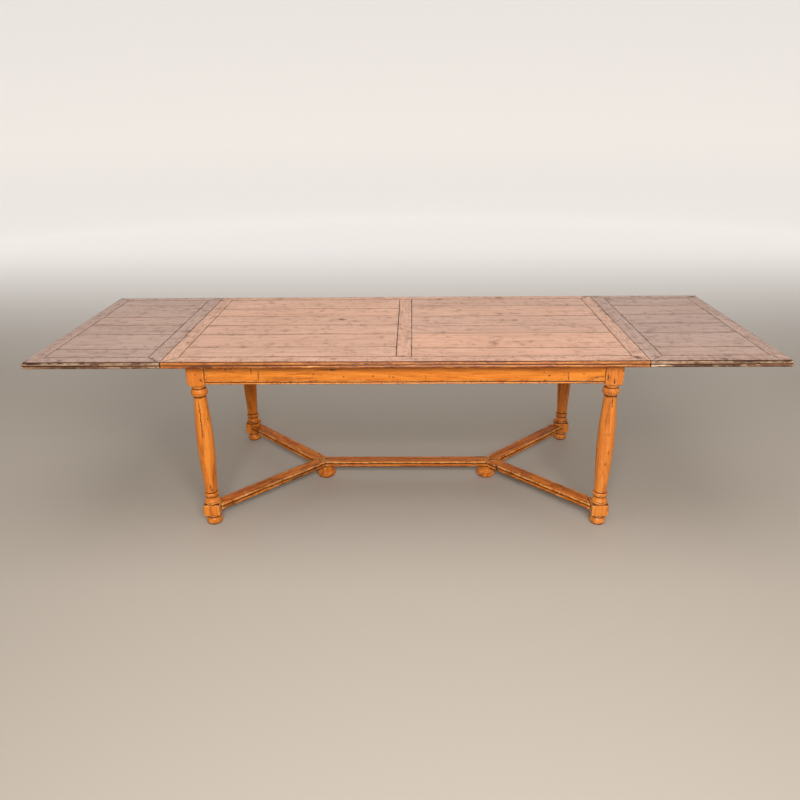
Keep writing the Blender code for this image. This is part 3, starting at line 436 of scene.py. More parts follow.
# The leaves' tops are greyer, with the same painted sheen in their tones.
LEAF_TOP_LOOK_WITH_SHEEN = {
    **MAIN_TOP_LOOK_WITH_SHEEN,
    "pale": colour(0.550, 0.342, 0.262), "middle": colour(0.450, 0.268, 0.198),
    "dark": colour(0.30, 0.165, 0.112), "rubbed_and_highlight": colour(0.62, 0.400, 0.300),
}
# The leaves' edges are dark, and their rubbed tone is nearly white: wear along the arrises with a
# painted highlight on it.
LEAF_EDGE_LOOK = {
    "pale": colour(0.38, 0.170, 0.076), "middle": colour(0.14, 0.050, 0.021),
    "dark": colour(0.045, 0.014, 0.007), "rubbed_and_highlight": colour(0.95, 0.66, 0.41),
    "glaze_and_shade": colour(0.034, 0.012, 0.006),
}
UNDER_LOOK = {
    "pale": colour(0.40, 0.250, 0.140), "middle": colour(0.31, 0.185, 0.100),
    "dark": colour(0.20, 0.110, 0.056), "rubbed_and_highlight": colour(0.42, 0.270, 0.160),
    "glaze_and_shade": colour(0.075, 0.034, 0.018),
}
# Glaze lies in the quirks of the moulding. The last band, at the underside, is painted shade along
# the bottom of the moulding.
MOULDED_QUIRKS_AND_SHADE = (
    (TABLE_TOP - 0.0024, 0.0022), (TABLE_TOP - 0.0085, 0.0007), (TABLE_TOP - 0.0138, 0.0017),
    (TABLE_TOP - 0.0215, 0.0007), (TABLE_UNDER + 0.0010, 0.0030),
)
TOP_LOOKS = {
    "main": (MAIN_TOP_LOOK_WITH_SHEEN, MAIN_EDGE_LOOK, UNDER_LOOK, MOULDED_QUIRKS_AND_SHADE),
    "leaf": (LEAF_TOP_LOOK_WITH_SHEEN, LEAF_EDGE_LOOK, UNDER_LOOK, MOULDED_QUIRKS_AND_SHADE),
}
TOP_FINISHES = {
    (part, way): timber(f"{part}_top_timber_{way}", turn, *TOP_LOOKS[part])
    for part in TOP_LOOKS for way, turn in (("along", ALONG_X), ("across", ALONG_Y))
}


def work_on(piece):
    """Put a piece alone on the bench."""
    clear_bench()
    bpy.context.view_layer.objects.active = piece
    piece.select_set(True)


def taken_from(node, name):
    """Copy a joined board of the frame, with its faces made whole again."""
    piece = bpy.data.objects.new(name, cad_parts[node].data.copy())
    bpy.context.scene.collection.objects.link(piece)
    work_on(piece)
    bpy.ops.object.mode_set(mode="EDIT")
    bpy.ops.mesh.select_all(action="SELECT")
    bpy.ops.mesh.remove_doubles(threshold=MERGE)
    bpy.ops.mesh.dissolve_limited(angle_limit=math.radians(0.5))
    bpy.ops.object.mode_set(mode="OBJECT")
    return piece


def even(low, high, pitch):
    """Return places at even steps between two ends, without the ends."""
    steps = max(1, round((high - low) / pitch))
    return [low + (high - low) * step / steps for step in range(1, steps)]


def sliced(piece, direction, places):
    """Cut a piece through at places along a direction, so that its surface can wear."""
    direction = Vector(direction).normalized()
    work_on(piece)
    bpy.ops.object.mode_set(mode="EDIT")
    for place in places:
        bpy.ops.mesh.select_all(action="SELECT")
        bpy.ops.mesh.bisect(plane_co=direction * place, plane_no=direction)
    bpy.ops.object.mode_set(mode="OBJECT")


def numbers(piece, kind):
    """Return a piece's vertex places or normals as rows of numbers."""
    values = np.empty(len(piece.data.vertices) * 3, np.float32)
    piece.data.vertices.foreach_get(kind, values)
    return values.reshape(-1, 3).astype(float)


def hollowness(piece):
    """Return how hollow (above 0) or proud (below 0) the surface is at each vertex."""
    mesh = piece.data
    ends = np.empty(len(mesh.edges) * 2, np.int32)
    mesh.edges.foreach_get("vertices", ends)
    a, b = ends.reshape(-1, 2).T
    place = numbers(piece, "co")
    normal = numbers(piece, "normal")
    step = place[b] - place[a]
    step /= np.maximum(np.linalg.norm(step, axis=1, keepdims=True), MERGE)
    count = len(place)
    met = np.maximum(np.bincount(a, minlength=count) + np.bincount(b, minlength=count), 1)
    rise_a = np.bincount(a, (normal[a] * step).sum(1), count)
    rise_b = np.bincount(b, (normal[b] * step).sum(1), count)
    value = (rise_a - rise_b) / met
    around = (np.bincount(a, value[b], count) + np.bincount(b, value[a], count)) / met
    return 0.5 * value + 0.5 * around


def keep_values(piece, name, values):
    """Store a number for each vertex, for the finish to read."""
    store = piece.data.attributes.get(name) or piece.data.attributes.new(name, "FLOAT", "POINT")
    store.data.foreach_set("value", np.asarray(values, np.float32))


def near_joints(piece, planes, tight=()):
    """Store how near each vertex is to a joint: 1 on its plane, and less by the metre.

    The tight joints are closer, so the glaze in them makes a thinner line.
    """
    place = numbers(piece, "co")
    away = [np.abs((place - np.array(point)) @ np.array(Vector(normal).normalized())) * scale
            for planes, scale in ((planes, 1.0), (tight, TIGHTER)) for point, normal in planes]
    keep_values(piece, "near_joint", np.clip(1.0 - np.min(away, axis=0), 0.0, 1.0))


def clouds(name, size, contrast, intensity):
    """Make a soft random texture for wear, with lumps of the given size."""
    texture = bpy.data.textures.new(name, "CLOUDS")
    texture.noise_scale = size
    texture.noise_depth = 1
    texture.contrast = contrast
    texture.intensity = intensity
    texture.use_clamp = True
    return texture


RIPPLE = clouds("slow_ripple", 0.11, 1.0, 1.0)
DENTS = clouds("small_dents", 0.013, 3.0, 0.75)
NIBBLES = clouds("nibbled_arris", 0.011, 2.2, 0.9)


def worn(piece, ripple, dents, nibbles):
    """Wear a piece: slow ripples, small dents and nibbled arrises, all taking wood away."""
    sharp = np.clip(-hollowness(piece) * 4.0, 0.0, 1.0)
    arris = piece.vertex_groups.new(name="arris")
    for index in np.nonzero(sharp > 0.15)[0]:
        arris.add([int(index)], float(sharp[index]), "REPLACE")
    work_on(piece)
    layers = ((RIPPLE, ripple, ""), (DENTS, dents, ""), (NIBBLES, nibbles, "arris"))
    for texture, depth, group in layers:
        wear = piece.modifiers.new(texture.name, "DISPLACE")
        wear.texture = texture
        wear.texture_coords = "LOCAL"
        wear.mid_level = 0.0
        wear.strength = -depth
        wear.vertex_group = group
        bpy.ops.object.modifier_apply(modifier=wear.name)
    piece.vertex_groups.clear()


SMOOTH_BELOW = math.radians(38)


def finished(piece, material, body, nodes, tone=0.0):
    """Glaze and shade a piece, and fit it to its body in place of the frame's plain one."""
    keep_values(piece, "hollow", np.clip(hollowness(piece) * 3.0, -1.0, 1.0))
    keep_values(piece, "tone", np.full(len(piece.data.vertices), tone))
    piece.data.materials.clear()
    piece.data.materials.append(material)
    work_on(piece)
    bpy.ops.object.shade_smooth_by_angle(angle=SMOOTH_BELOW)
    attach(piece, body)
    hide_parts(*nodes)


TONGUE = 0.010
STEP_INSET = 0.0075
ARRIS_BAND = 0.0035
BORDER_WEAR = (0.0004, 0.00014, 0.0016)
BORDER_TONES = (-0.5, 0.5)
RAIL_TONE = 0.6

# Plan corners of the three frames: (inner low x, inner high x, outer low x, outer high x)
field_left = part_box("main_top_field_left")
field_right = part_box("main_top_field_right")
FIELD_Y = field_left[1].y - TONGUE
HALF_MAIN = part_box("main_top_border_right")[1].x
FRAMES = {"main_top": (field_left[0].x + TONGUE, field_right[1].x - TONGUE, -HALF_MAIN, HALF_MAIN)}
for side in ("left", "right"):
    low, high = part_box(f"leaf_{side}_field")
    ends = (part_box(f"leaf_{side}_border_left")[0].x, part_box(f"leaf_{side}_border_right")[1].x)
    FRAMES[f"leaf_{side}"] = (low.x + TONGUE, high.x - TONGUE, *ends)
dice = np.random.default_rng(7)


def mitre(inner_x, outer_x, end):
    """Return the upright plane of a mitre, from an inner corner to an outer one."""
    run = Vector((outer_x - inner_x, end * (HALF_WIDTH - FIELD_Y), 0))
    return (inner_x, end * FIELD_Y, 0), (-run.y, run.x, 0)


for part, (inner_low, inner_high, outer_low, outer_high) in FRAMES.items():
    family = part.split("_")[0]
    body = "frame" if family == "main" else part
    slot = "top_wood" if family == "main" else "leaf_wood"
    for label, end in (("front", -1), ("back", 1)):
        node = f"{part}_border_{label}"
        board = taken_from(node, f"{node}_worn")
        sliced(board, (1, 0, 0), even(outer_low, outer_high, BOARD_PITCH))
        arris_lines = (FIELD_Y + ARRIS_BAND, HALF_WIDTH - STEP_INSET - ARRIS_BAND)
        sliced(board, (0, 1, 0), [end * line for line in arris_lines])
        worn(board, *BORDER_WEAR)
        mitres = [mitre(inner_low, outer_low, end), mitre(inner_high, outer_high, end)]
        near_joints(board, [((0, end * FIELD_Y, 0), (0, 1, 0))], mitres)
        tone = dice.uniform(*BORDER_TONES)
        finished(board, TOP_FINISHES[family, "along"], body, [node], tone)
    across_ends = (("left", inner_low, outer_low), ("right", inner_high, outer_high))
    for label, inner_x, outer_x in across_ends:
        node = f"{part}_border_{label}"
        board = taken_from(node, f"{node}_worn")
        outwards = 1 if outer_x > inner_x else -1
        sliced(board, (0, 1, 0), even(-HALF_WIDTH, HALF_WIDTH, BOARD_PITCH))
        moulded = abs(outer_x) > HALF_MAIN + TONGUE
        outer_line = outer_x - outwards * (ARRIS_BAND + (STEP_INSET if moulded else 0))
        sliced(board, (1, 0, 0), [inner_x + outwards * ARRIS_BAND, outer_line])
        worn(board, *BORDER_WEAR)
        joints = [
            ((inner_x, 0, 0), (1, 0, 0)), mitre(inner_x, outer_x, -1), mitre(inner_x, outer_x, 1),
        ]
        if not moulded:
            joints.append(((outer_x, 0, 0), (1, 0, 0)))
        near_joints(board, [], joints)
        tone = dice.uniform(*BORDER_TONES)
        finished(board, TOP_FINISHES[family, "across"], body, [node], tone)

rail = taken_from("main_top_centre_rail", "main_top_centre_rail_worn")
rail_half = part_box("main_top_field_right")[0].x + TONGUE
sliced(rail, (0, 1, 0), even(-FIELD_Y, FIELD_Y, BOARD_PITCH))
sliced(rail, (1, 0, 0), [ARRIS_BAND - rail_half, rail_half - ARRIS_BAND])
worn(rail, *BORDER_WEAR)
near_joints(
    rail, [((0, -FIELD_Y, 0), (0, 1, 0)), ((0, FIELD_Y, 0), (0, 1, 0))],
    [((-rail_half, 0, 0), (1, 0, 0)), ((rail_half, 0, 0), (1, 0, 0))],
)
rail_finish = TOP_FINISHES["main", "across"]
finished(rail, rail_finish, "frame", ["main_top_centre_rail"], RAIL_TONE)

# ------------------------------------------------------- planks of the top
# Four fields of six planks lie between the borders. Each is a solid board with an eased,
# slightly ragged edge, so the joints between them read as dark broken lines.

PLANK_GAP = 0.0004
PLANK_EASING = 0.0012
PLANK_PITCH = 0.014
PLANK_WEAR = (0.0005, 0.00010, 0.0012)
PLANK_TONES = (-1.0, 1.0)
PLANK_WIDTHS = {
    "main_top_field_left": (126, 179, 138, 151, 135, 175),
    "main_top_field_right": (105, 206, 114, 161, 187, 131),
    "leaf_left_field": (104, 204, 144, 135, 215, 102),
    "leaf_right_field": (106, 200, 145, 151, 162, 140),
}


def plank(name, low, high):
    """Make one plank between two corners, with its upper arrises eased."""
    clear_bench()
    bpy.ops.mesh.primitive_cube_add(size=1.0, location=(low + high) / 2, scale=high - low)
    piece = bpy.context.object
    piece.name = name
    bpy.ops.object.transform_apply(location=True, rotation=False, scale=True)
    bpy.ops.object.mode_set(mode="EDIT")
    bpy.ops.mesh.select_mode(type="EDGE")
    bpy.ops.mesh.select_all(action="DESELECT")
    shape = bmesh.from_edit_mesh(piece.data)
    for edge in shape.edges:
        edge.select_set(all(v.co.z > (low.z + high.z) / 2 for v in edge.verts))
    bmesh.update_edit_mesh(piece.data)
    bpy.ops.mesh.bevel(offset=PLANK_EASING, segments=2, affect="EDGES")
    bpy.ops.object.mode_set(mode="OBJECT")
    return piece


for field, widths in PLANK_WIDTHS.items():
    low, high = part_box(field)
    low_x, high_x = low.x + TONGUE + PLANK_GAP, high.x - TONGUE - PLANK_GAP
    family = field.split("_")[0]
    body = "frame" if family == "main" else field.replace("_field", "")
    slot = "top_wood" if family == "main" else "leaf_wood"
    edge_y = -FIELD_Y
    for number, width in enumerate(widths, start=1):
        next_y = edge_y + 2 * FIELD_Y * width / sum(widths)
        board = plank(
            f"{field}_plank_{number}",
            Vector((low_x, edge_y + PLANK_GAP, TABLE_UNDER)),
            Vector((high_x, next_y - PLANK_GAP, TABLE_TOP)),
        )
        sliced(board, (1, 0, 0), even(low_x, high_x, PLANK_PITCH))
        bands = [edge_y + ARRIS_BAND, next_y - ARRIS_BAND]
        sliced(board, (0, 1, 0), bands + even(*bands, PLANK_PITCH))
        sliced(board, (1, 0, 0), [low_x + ARRIS_BAND, high_x - ARRIS_BAND])
        worn(board, *PLANK_WEAR)
        near_joints(
            board, [((0, edge_y, 0), (0, 1, 0)), ((0, next_y, 0), (0, 1, 0))],
            [((low_x, 0, 0), (1, 0, 0)), ((high_x, 0, 0), (1, 0, 0))],
        )
        tone = dice.uniform(*PLANK_TONES)
        finished(board, TOP_FINISHES[family, "along"], body, [field], tone)
        edge_y = next_y

# -------------------------------------------------------------------- legs
# Four legs are turned from square timber: a block for the aprons, a collar and ring, a
# long vase, rings again, a block for the stretcher arm, and a turned foot. The wood is
# stained honey brown, split by age and nibbled along the corners of its blocks.

TOP_BLOCK = 0.094
LOW_BLOCK = 0.053
FOOT_HEIGHT = 0.045
NECK = 0.0253
SWELL = 0.0099
COLLAR = ((0.0055, 0.0020), (0.0024, 0.0070), (0.0012, 0.0130))
TOP_RING = (
    (0.0012, 0.0145), (0.0050, 0.0185), (0.0078, 0.0265), (0.0088, 0.0345), (0.0070, 0.0420),
    (0.0016, 0.0468),
)
VASE_BELOW_BLOCK = 0.056
VASE_ABOVE_BLOCK = 0.057
VASE_SWELLING = (
    (0.0, 0.04), (0.14, 0.46), (0.30, 0.86), (0.46, 1.0), (0.62, 0.90), (0.80, 0.50), (1.0, 0.08),
)
SMALL_RING = (0.0008, 0.0062, 0.0525, 0.0335)
BELL = ((0.0018, 0.0310), (0.0024, 0.0240), (0.0048, 0.0170), (0.0080, 0.0115))
BIG_RING = (0.0058, 0.0098, 0.0100, 0.0010)
FOOT = (
    (0.0022, 0.0030), (0.0046, 0.0070), (0.0016, 0.0115), (0.0052, 0.0175),
    (0.0084, 0.0265), (0.0078, 0.0355), (0.0030, 0.0450),
)
BURIED = 0.015
LATHE_STEPS = 96
BLOCK_EASING = 0.0026
BLOCK_PITCH = 0.0045
LEG_WEAR = (0.0005, 0.0005, 0.0030)
LEG_TONES = (-0.5, 0.5)
BEAD_STEPS = 12

BASE_LOOK = {
    "pale": colour(0.92, 0.290, 0.030), "middle": colour(0.78, 0.215, 0.018),
    "dark": colour(0.36, 0.083, 0.008), "rubbed_and_highlight": colour(0.95, 0.45, 0.12),
    "glaze_and_shade": colour(0.070, 0.019, 0.005),
    "rubbed_and_highlight_share": 0.50, "roughness": 0.38, "coat": 0.06, "shine": 0.30, "relief": 0.0010,
    "scuffs": 0.25, "stretch": 0.20, "marks": 0.95, "ticks": 1.0, "speck": 0.17, "rarity": 0.55,
    "grain": 0.75, "tone": 0.06, "line": 1.0,
}


def flowing(points, per_span):
    """Return a smooth line through points, ends included."""
    padded = [Vector(point) for point in (points[0], *points, points[-1])]
    line = []
    for before, start, end, after in zip(padded, padded[1:], padded[2:], padded[3:]):
        for step in range(per_span):
            t = step / per_span
            slope_start, slope_end = (end - before) / 2, (after - start) / 2
            line.append(
                start * (2 * t**3 - 3 * t**2 + 1) + slope_start * (t**3 - 2 * t**2 + t)
                + end * (3 * t**2 - 2 * t**3) + slope_end * (t**3 - t**2)
            )
    return line + [padded[-1]]


def bead(base, crest, top, bottom):
    """Return a turned bead, from the top down, that swells from base to crest."""
    turns = [math.pi * (0.5 - step / BEAD_STEPS) for step in range(BEAD_STEPS + 1)]
    middle, half, swell = (top + bottom) / 2, (top - bottom) / 2, crest - base
    return [Vector((base + swell * math.cos(a), middle + half * math.sin(a))) for a in turns]


def turned(name, profile, centre):
    """Turn a profile of (radius, height) points, from the top down, about an upright axis."""
    clear_bench()
    bpy.ops.mesh.primitive_plane_add(size=0.01, location=centre)
    piece = bpy.context.object
    piece.name = name
    bpy.ops.object.transform_apply(location=True, rotation=False, scale=False)
    bpy.ops.object.mode_set(mode="EDIT")
    bpy.ops.mesh.select_mode(type="VERT")
    bpy.ops.mesh.select_all(action="SELECT")
    bpy.ops.mesh.merge(type="CENTER")
    bpy.ops.transform.translate(value=(profile[0][0], 0, profile[0][1]))
    for here, there in zip(profile, profile[1:]):
        step = (there[0] - here[0], 0, there[1] - here[1])
        bpy.ops.mesh.extrude_region_move(TRANSFORM_OT_translate={"value": step})
    bpy.ops.mesh.select_all(action="SELECT")
    bpy.ops.mesh.spin(steps=LATHE_STEPS, angle=math.tau, center=centre, axis=(0, 0, 1))
    bpy.ops.mesh.select_all(action="SELECT")
    bpy.ops.mesh.remove_doubles(threshold=MERGE)
    bpy.ops.mesh.normals_make_consistent(inside=False)
    bpy.ops.object.mode_set(mode="OBJECT")
    return piece


def block(name, low, high, easing, pitch):
    """Make a square block with eased arrises and enough faces to be worn."""
    clear_bench()
    bpy.ops.mesh.primitive_cube_add(size=1.0, location=(low + high) / 2, scale=high - low)
    piece = bpy.context.object
    piece.name = name
    bpy.ops.object.transform_apply(location=True, rotation=False, scale=True)
    bpy.ops.object.mode_set(mode="EDIT")
    bpy.ops.mesh.select_all(action="SELECT")
    bpy.ops.mesh.bevel(offset=easing, segments=2, affect="EDGES")
    bpy.ops.object.mode_set(mode="OBJECT")
    for axis in range(3):
        direction = Vector((axis == 0, axis == 1, axis == 2))
        sliced(piece, direction, even(low[axis], high[axis], pitch))
    return piece


def joined(piece, *others):
    """Join other shapes to a piece as one solid."""
    for other in others:
        work_on(piece)
        union = piece.modifiers.new("joined", "BOOLEAN")
        union.operation = "UNION"
        union.object = other
        bpy.ops.object.modifier_apply(modifier=union.name)
        bpy.data.objects.remove(other)


def ring(level, base, crest, top, bottom):
    """Return a ring's profile above a level."""
    return bead(NECK + base, NECK + crest, level + top, level + bottom)


def copied(piece, name, shift):
    """Copy a piece, with a mesh of its own, to another place."""
    twin = bpy.data.objects.new(name, piece.data.copy())
    twin.data.transform(Matrix.Translation(shift))
    bpy.context.scene.collection.objects.link(twin)
    return twin


def gouged(piece, marks):
    """Strike marks into a piece: (place, size in x, y and z, depth, darkness) each."""
    place = numbers(piece, "co")
    normal = numbers(piece, "normal")
    stain = np.zeros(len(place))
    for centre, size, depth, darkness in marks:
        share = np.exp(-(((place - np.array(centre)) / np.array(size)) ** 2).sum(1))
        place -= normal * (share * depth)[:, None]
        stain = np.maximum(stain, share * darkness)
    piece.data.vertices.foreach_set("co", place.astype(np.float32).ravel())
    piece.data.update()
    keep_values(piece, "stain", stain)


def crack(start, end, width, depth, wander, seed):
    """Return the marks of a split in the wood that wanders from start to end."""
    start, end = Vector(start), Vector(end)
    random = np.random.default_rng(seed)
    count = max(3, round((end - start).length / (width * 1.2)))
    drift = np.cumsum(random.normal(0.0, wander, count))
    drift -= np.linspace(0.0, drift[-1], count)
    marks = []
    for number in range(count):
        share = number / (count - 1)
        middle = start.lerp(end, share) + Vector((drift[number], 0, 0))
        strength = math.sin(math.pi * (0.06 + 0.88 * share)) ** 0.5 * random.uniform(0.55, 1.0)
        marks.append((middle, (width * strength, 0.02, width * 1.6), depth * strength, strength))
    return marks


leg_low, leg_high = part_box("leg_front_left")
leg_axis = (leg_low + leg_high) / 2
leg_axis.z = 0.0
upper = leg_high.z - TOP_BLOCK
lower = FOOT_HEIGHT + LOW_BLOCK
vase_top = upper - VASE_BELOW_BLOCK
vase_bottom = lower + VASE_ABOVE_BLOCK
leg_profile = [
    (0, upper + BURIED), (NECK, upper + BURIED), (NECK, upper + COLLAR[0][1]),
    *flowing([(NECK + out, upper - down) for out, down in COLLAR], 6),
    *flowing([(NECK + out, upper - down) for out, down in TOP_RING], 6),
    *flowing([
        (NECK + SWELL * share, vase_top + (vase_bottom - vase_top) * down)
        for down, share in VASE_SWELLING
    ], 14),
    *ring(lower, *SMALL_RING),
    *flowing([(NECK + out, lower + above) for out, above in BELL], 6),
    *ring(lower, *BIG_RING),
    (NECK, lower - 2 * BLOCK_EASING), (NECK, FOOT_HEIGHT + 2 * BLOCK_EASING),
    *flowing([(NECK + out, FOOT_HEIGHT - down) for out, down in FOOT], 6), (0, 0),
]
leg_half = (leg_high.x - leg_low.x) / 2
square = Vector((leg_half, leg_half, 0))
plain_leg = turned("plain_leg", leg_profile, leg_axis)
joined(
    plain_leg,
    block("top_block", leg_axis - square + Vector((0, 0, upper)),
          leg_axis + square + Vector((0, 0, leg_high.z)), BLOCK_EASING, BLOCK_PITCH),
    block("low_block", leg_axis - square + Vector((0, 0, FOOT_HEIGHT)),
          leg_axis + square + Vector((0, 0, lower)), BLOCK_EASING, BLOCK_PITCH),
)

LEG_MARKS = {
    "front_left": [
        *crack((-0.830, -0.455, 0.588), (-0.825, -0.455, 0.415), 0.0017, 0.0022, 0.0008, 1),
        *crack((-0.820, -0.455, 0.192), (-0.815, -0.455, 0.150), 0.0018, 0.0020, 0.0005, 2),
        ((-0.806, -0.461, 0.668), (0.005, 0.01, 0.004), 0.0025, 1.0),
        ((-0.801, -0.461, 0.660), (0.006, 0.01, 0.002), 0.0022, 0.9),
        ((-0.798, -0.461, 0.648), (0.003, 0.01, 0.003), 0.0012, 0.6),
        ((-0.862, -0.461, 0.642), (0.005, 0.01, 0.009), 0.0060, 1.0),
    ],
    "front_right": [
        *crack((0.832, -0.455, 0.602), (0.830, -0.455, 0.548), 0.0018, 0.0022, 0.0005, 3),
        *crack((0.824, -0.461, 0.690), (0.826, -0.461, 0.645), 0.0018, 0.0020, 0.0006, 4),
        *crack((0.800, -0.461, 0.690), (0.803, -0.461, 0.655), 0.0026, 0.0020, 0.0009, 5),
        ((0.827, -0.455, 0.292), (0.004, 0.02, 0.0045), 0.0012, 0.85),
        ((0.833, -0.455, 0.345), (0.0018, 0.02, 0.010), 0.0015, 0.7),
        ((0.824, -0.455, 0.425), (0.022, 0.02, 0.0012), 0.0006, 0.35),
        ((0.826, -0.455, 0.385), (0.022, 0.02, 0.0012), 0.0006, 0.40),
    ],
    "back_left": crack((-0.820, 0.395, 0.560), (-0.826, 0.395, 0.430), 0.0022, 0.0020, 0.0006, 6),
    "back_right": crack((0.826, 0.395, 0.500), (0.820, 0.395, 0.330), 0.0022, 0.0020, 0.0006, 7),
}
TURNED_QUIRKS = (
    (upper - 0.0142, 0.0026), (upper - 0.0335, 0.0009), (upper - 0.0480, 0.0028),
    (lower + 0.0540, 0.0028), (lower + 0.0325, 0.0030), (lower + 0.0108, 0.0018),
    (lower + 0.0006, 0.0020),
    (FOOT_HEIGHT - 0.0010, 0.0030), (FOOT_HEIGHT - 0.0115, 0.0036), (0.0, 0.0090),
)
leg_finish = timber("leg_timber", ALONG_Z, BASE_LOOK, quirks_and_shade_bands=TURNED_QUIRKS)
for corner, marks in LEG_MARKS.items():
    node = f"leg_{corner}"
    low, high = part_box(node)
    shift = (low + high) / 2 - (leg_low + leg_high) / 2
    leg = copied(plain_leg, f"{node}_turned", shift)
    worn(leg, *LEG_WEAR)
    gouged(leg, marks)
    finished(leg, leg_finish, "frame", [node], dice.uniform(*LEG_TONES))
bpy.data.objects.remove(plain_leg)

# ------------------------------------------------------------------ aprons
# Four flat boards with a bead along the lower edge, tenoned into the legs. The end aprons
# are notched for the pull-out lopers. Carving knives, chairs and glaze have marked them.

APRON_WEAR = (0.0005, 0.0005, 0.0014)
APRON_PITCH = 0.009
APRON_BEAD = 0.012
APRON_LOOK = {**BASE_LOOK, "scuffs": 0.32, "rarity": 0.51}

apron_low, apron_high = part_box("apron_front")
# Glaze lies in the quirk over the bead and along the bottom. The band at the apron's top is
# painted shadow under the overhang of the top.
apron_quirks_and_shade = ((apron_low.z + 0.0103, 0.0030), (apron_low.z, 0.0030), (apron_high.z, 0.0050))
apron_finish = {
    way: timber(f"apron_timber_{way}", turn, APRON_LOOK, quirks_and_shade_bands=apron_quirks_and_shade)
    for way, turn in (("along", ALONG_X), ("across", ALONG_Y))
}
shoulder_x = leg_axis.x + leg_half
shoulder_y = leg_axis.y + leg_half
rows = even(apron_low.z + APRON_BEAD, apron_high.z, APRON_PITCH)
face_y = apron_low.y
APRON_MARKS = [
    *crack((-0.355, face_y, 0.708), (-0.241, face_y, 0.709), 0.0020, 0.0016, 0.0, 11),
    *crack((-0.576, face_y, 0.702), (-0.576, face_y, 0.660), 0.0017, 0.0014, 0.0005, 12),
    *crack((0.722, face_y, 0.668), (0.788, face_y, 0.677), 0.0022, 0.0016, 0.0, 13),
    *crack((0.646, face_y, 0.694), (0.647, face_y, 0.656), 0.0017, 0.0014, 0.0004, 14),
    ((-0.704, face_y, 0.714), (0.0028, 0.01, 0.009), 0.0016, 0.9),
    ((-0.282, face_y, 0.7075), (0.007, 0.01, 0.0036), 0.0022, 1.0),
    ((-0.358, face_y, 0.690), (0.0045, 0.01, 0.0024), 0.0016, 0.9),
    ((-0.190, face_y, 0.727), (0.0040, 0.01, 0.0030), 0.0016, 0.9),
    ((-0.057, face_y, 0.681), (0.0024, 0.01, 0.0035), 0.0016, 0.9),
]
MARKED = (
    (-0.716, -0.692), (-0.585, -0.567), (-0.366, -0.232), (-0.200, -0.180), (-0.065, -0.049),
    (0.638, 0.654), (0.714, 0.790),
)
MARK_PITCH = 0.002
APRONS = {
    "front": ("along", (1, 0, 0), shoulder_x), "back": ("along", (1, 0, 0), shoulder_x),
    "left": ("across", (0, 1, 0), shoulder_y), "right": ("across", (0, 1, 0), shoulder_y),
}
for label, (way, direction, shoulder) in APRONS.items():
    apron = taken_from(f"apron_{label}", f"apron_{label}_worn")
    sliced(apron, direction, even(shoulder, -shoulder, APRON_PITCH))
    sliced(apron, (0, 0, 1), rows)
    if label == "front":
        sliced(apron, (0, 0, 1), even(rows[0], apron_high.z, MARK_PITCH * 1.5))
        for start, end in MARKED:
            sliced(apron, (1, 0, 0), even(start, end, MARK_PITCH))
    worn(apron, *APRON_WEAR)
    if label == "front":
        gouged(apron, APRON_MARKS)
    ends = [Vector(direction) * shoulder, Vector(direction) * -shoulder]
    near_joints(apron, [(place, direction) for place in ends])
    finished(apron, apron_finish[way], "frame", [f"apron_{label}"])

# -------------------------------------------------- stretchers and their feet
# A middle bar and four arms at 45 degrees are mitred together near each end, over a
# turned bun foot that pins the joint. Shoes have scuffed their tops and lower beads.

STRETCHER_WEAR = (0.0005, 0.0007, 0.0022)
STRETCHER_PITCH = 0.008
STRETCHER_LINES = (-0.8, -0.4, 0.0, 0.4, 0.8)
BAR_TONE = -0.4
ARM_TONES = (-0.6, 0.2)
BUN = ((0.88, 0.024), (0.63, 0.006), (0.39, 0.0), (0.14, 0.006), (0.0, 0.017))
BUN_RADIUS = 0.045
BUN_NECK = 0.020
BUN_QUIRK = 0.0060
BUN_WEAR = (0.0005, 0.0006, 0.0010)
BUN_TONE = -0.3

# The bright rubbed tone and its large share are wear along the arrises with a painted highlight on
# it.
STRETCHER_LOOK = {
    **BASE_LOOK,
    "pale": colour(0.84, 0.225, 0.014), "middle": colour(0.60, 0.138, 0.007),
    "dark": colour(0.13, 0.036, 0.004), "roughness": 0.50, "coat": 0.0, "shine": 0.14,
    "scuffs": 0.80, "grain": 0.85, "rubbed_and_highlight": colour(0.96, 0.50, 0.17), "rubbed_and_highlight_share": 0.75,
}

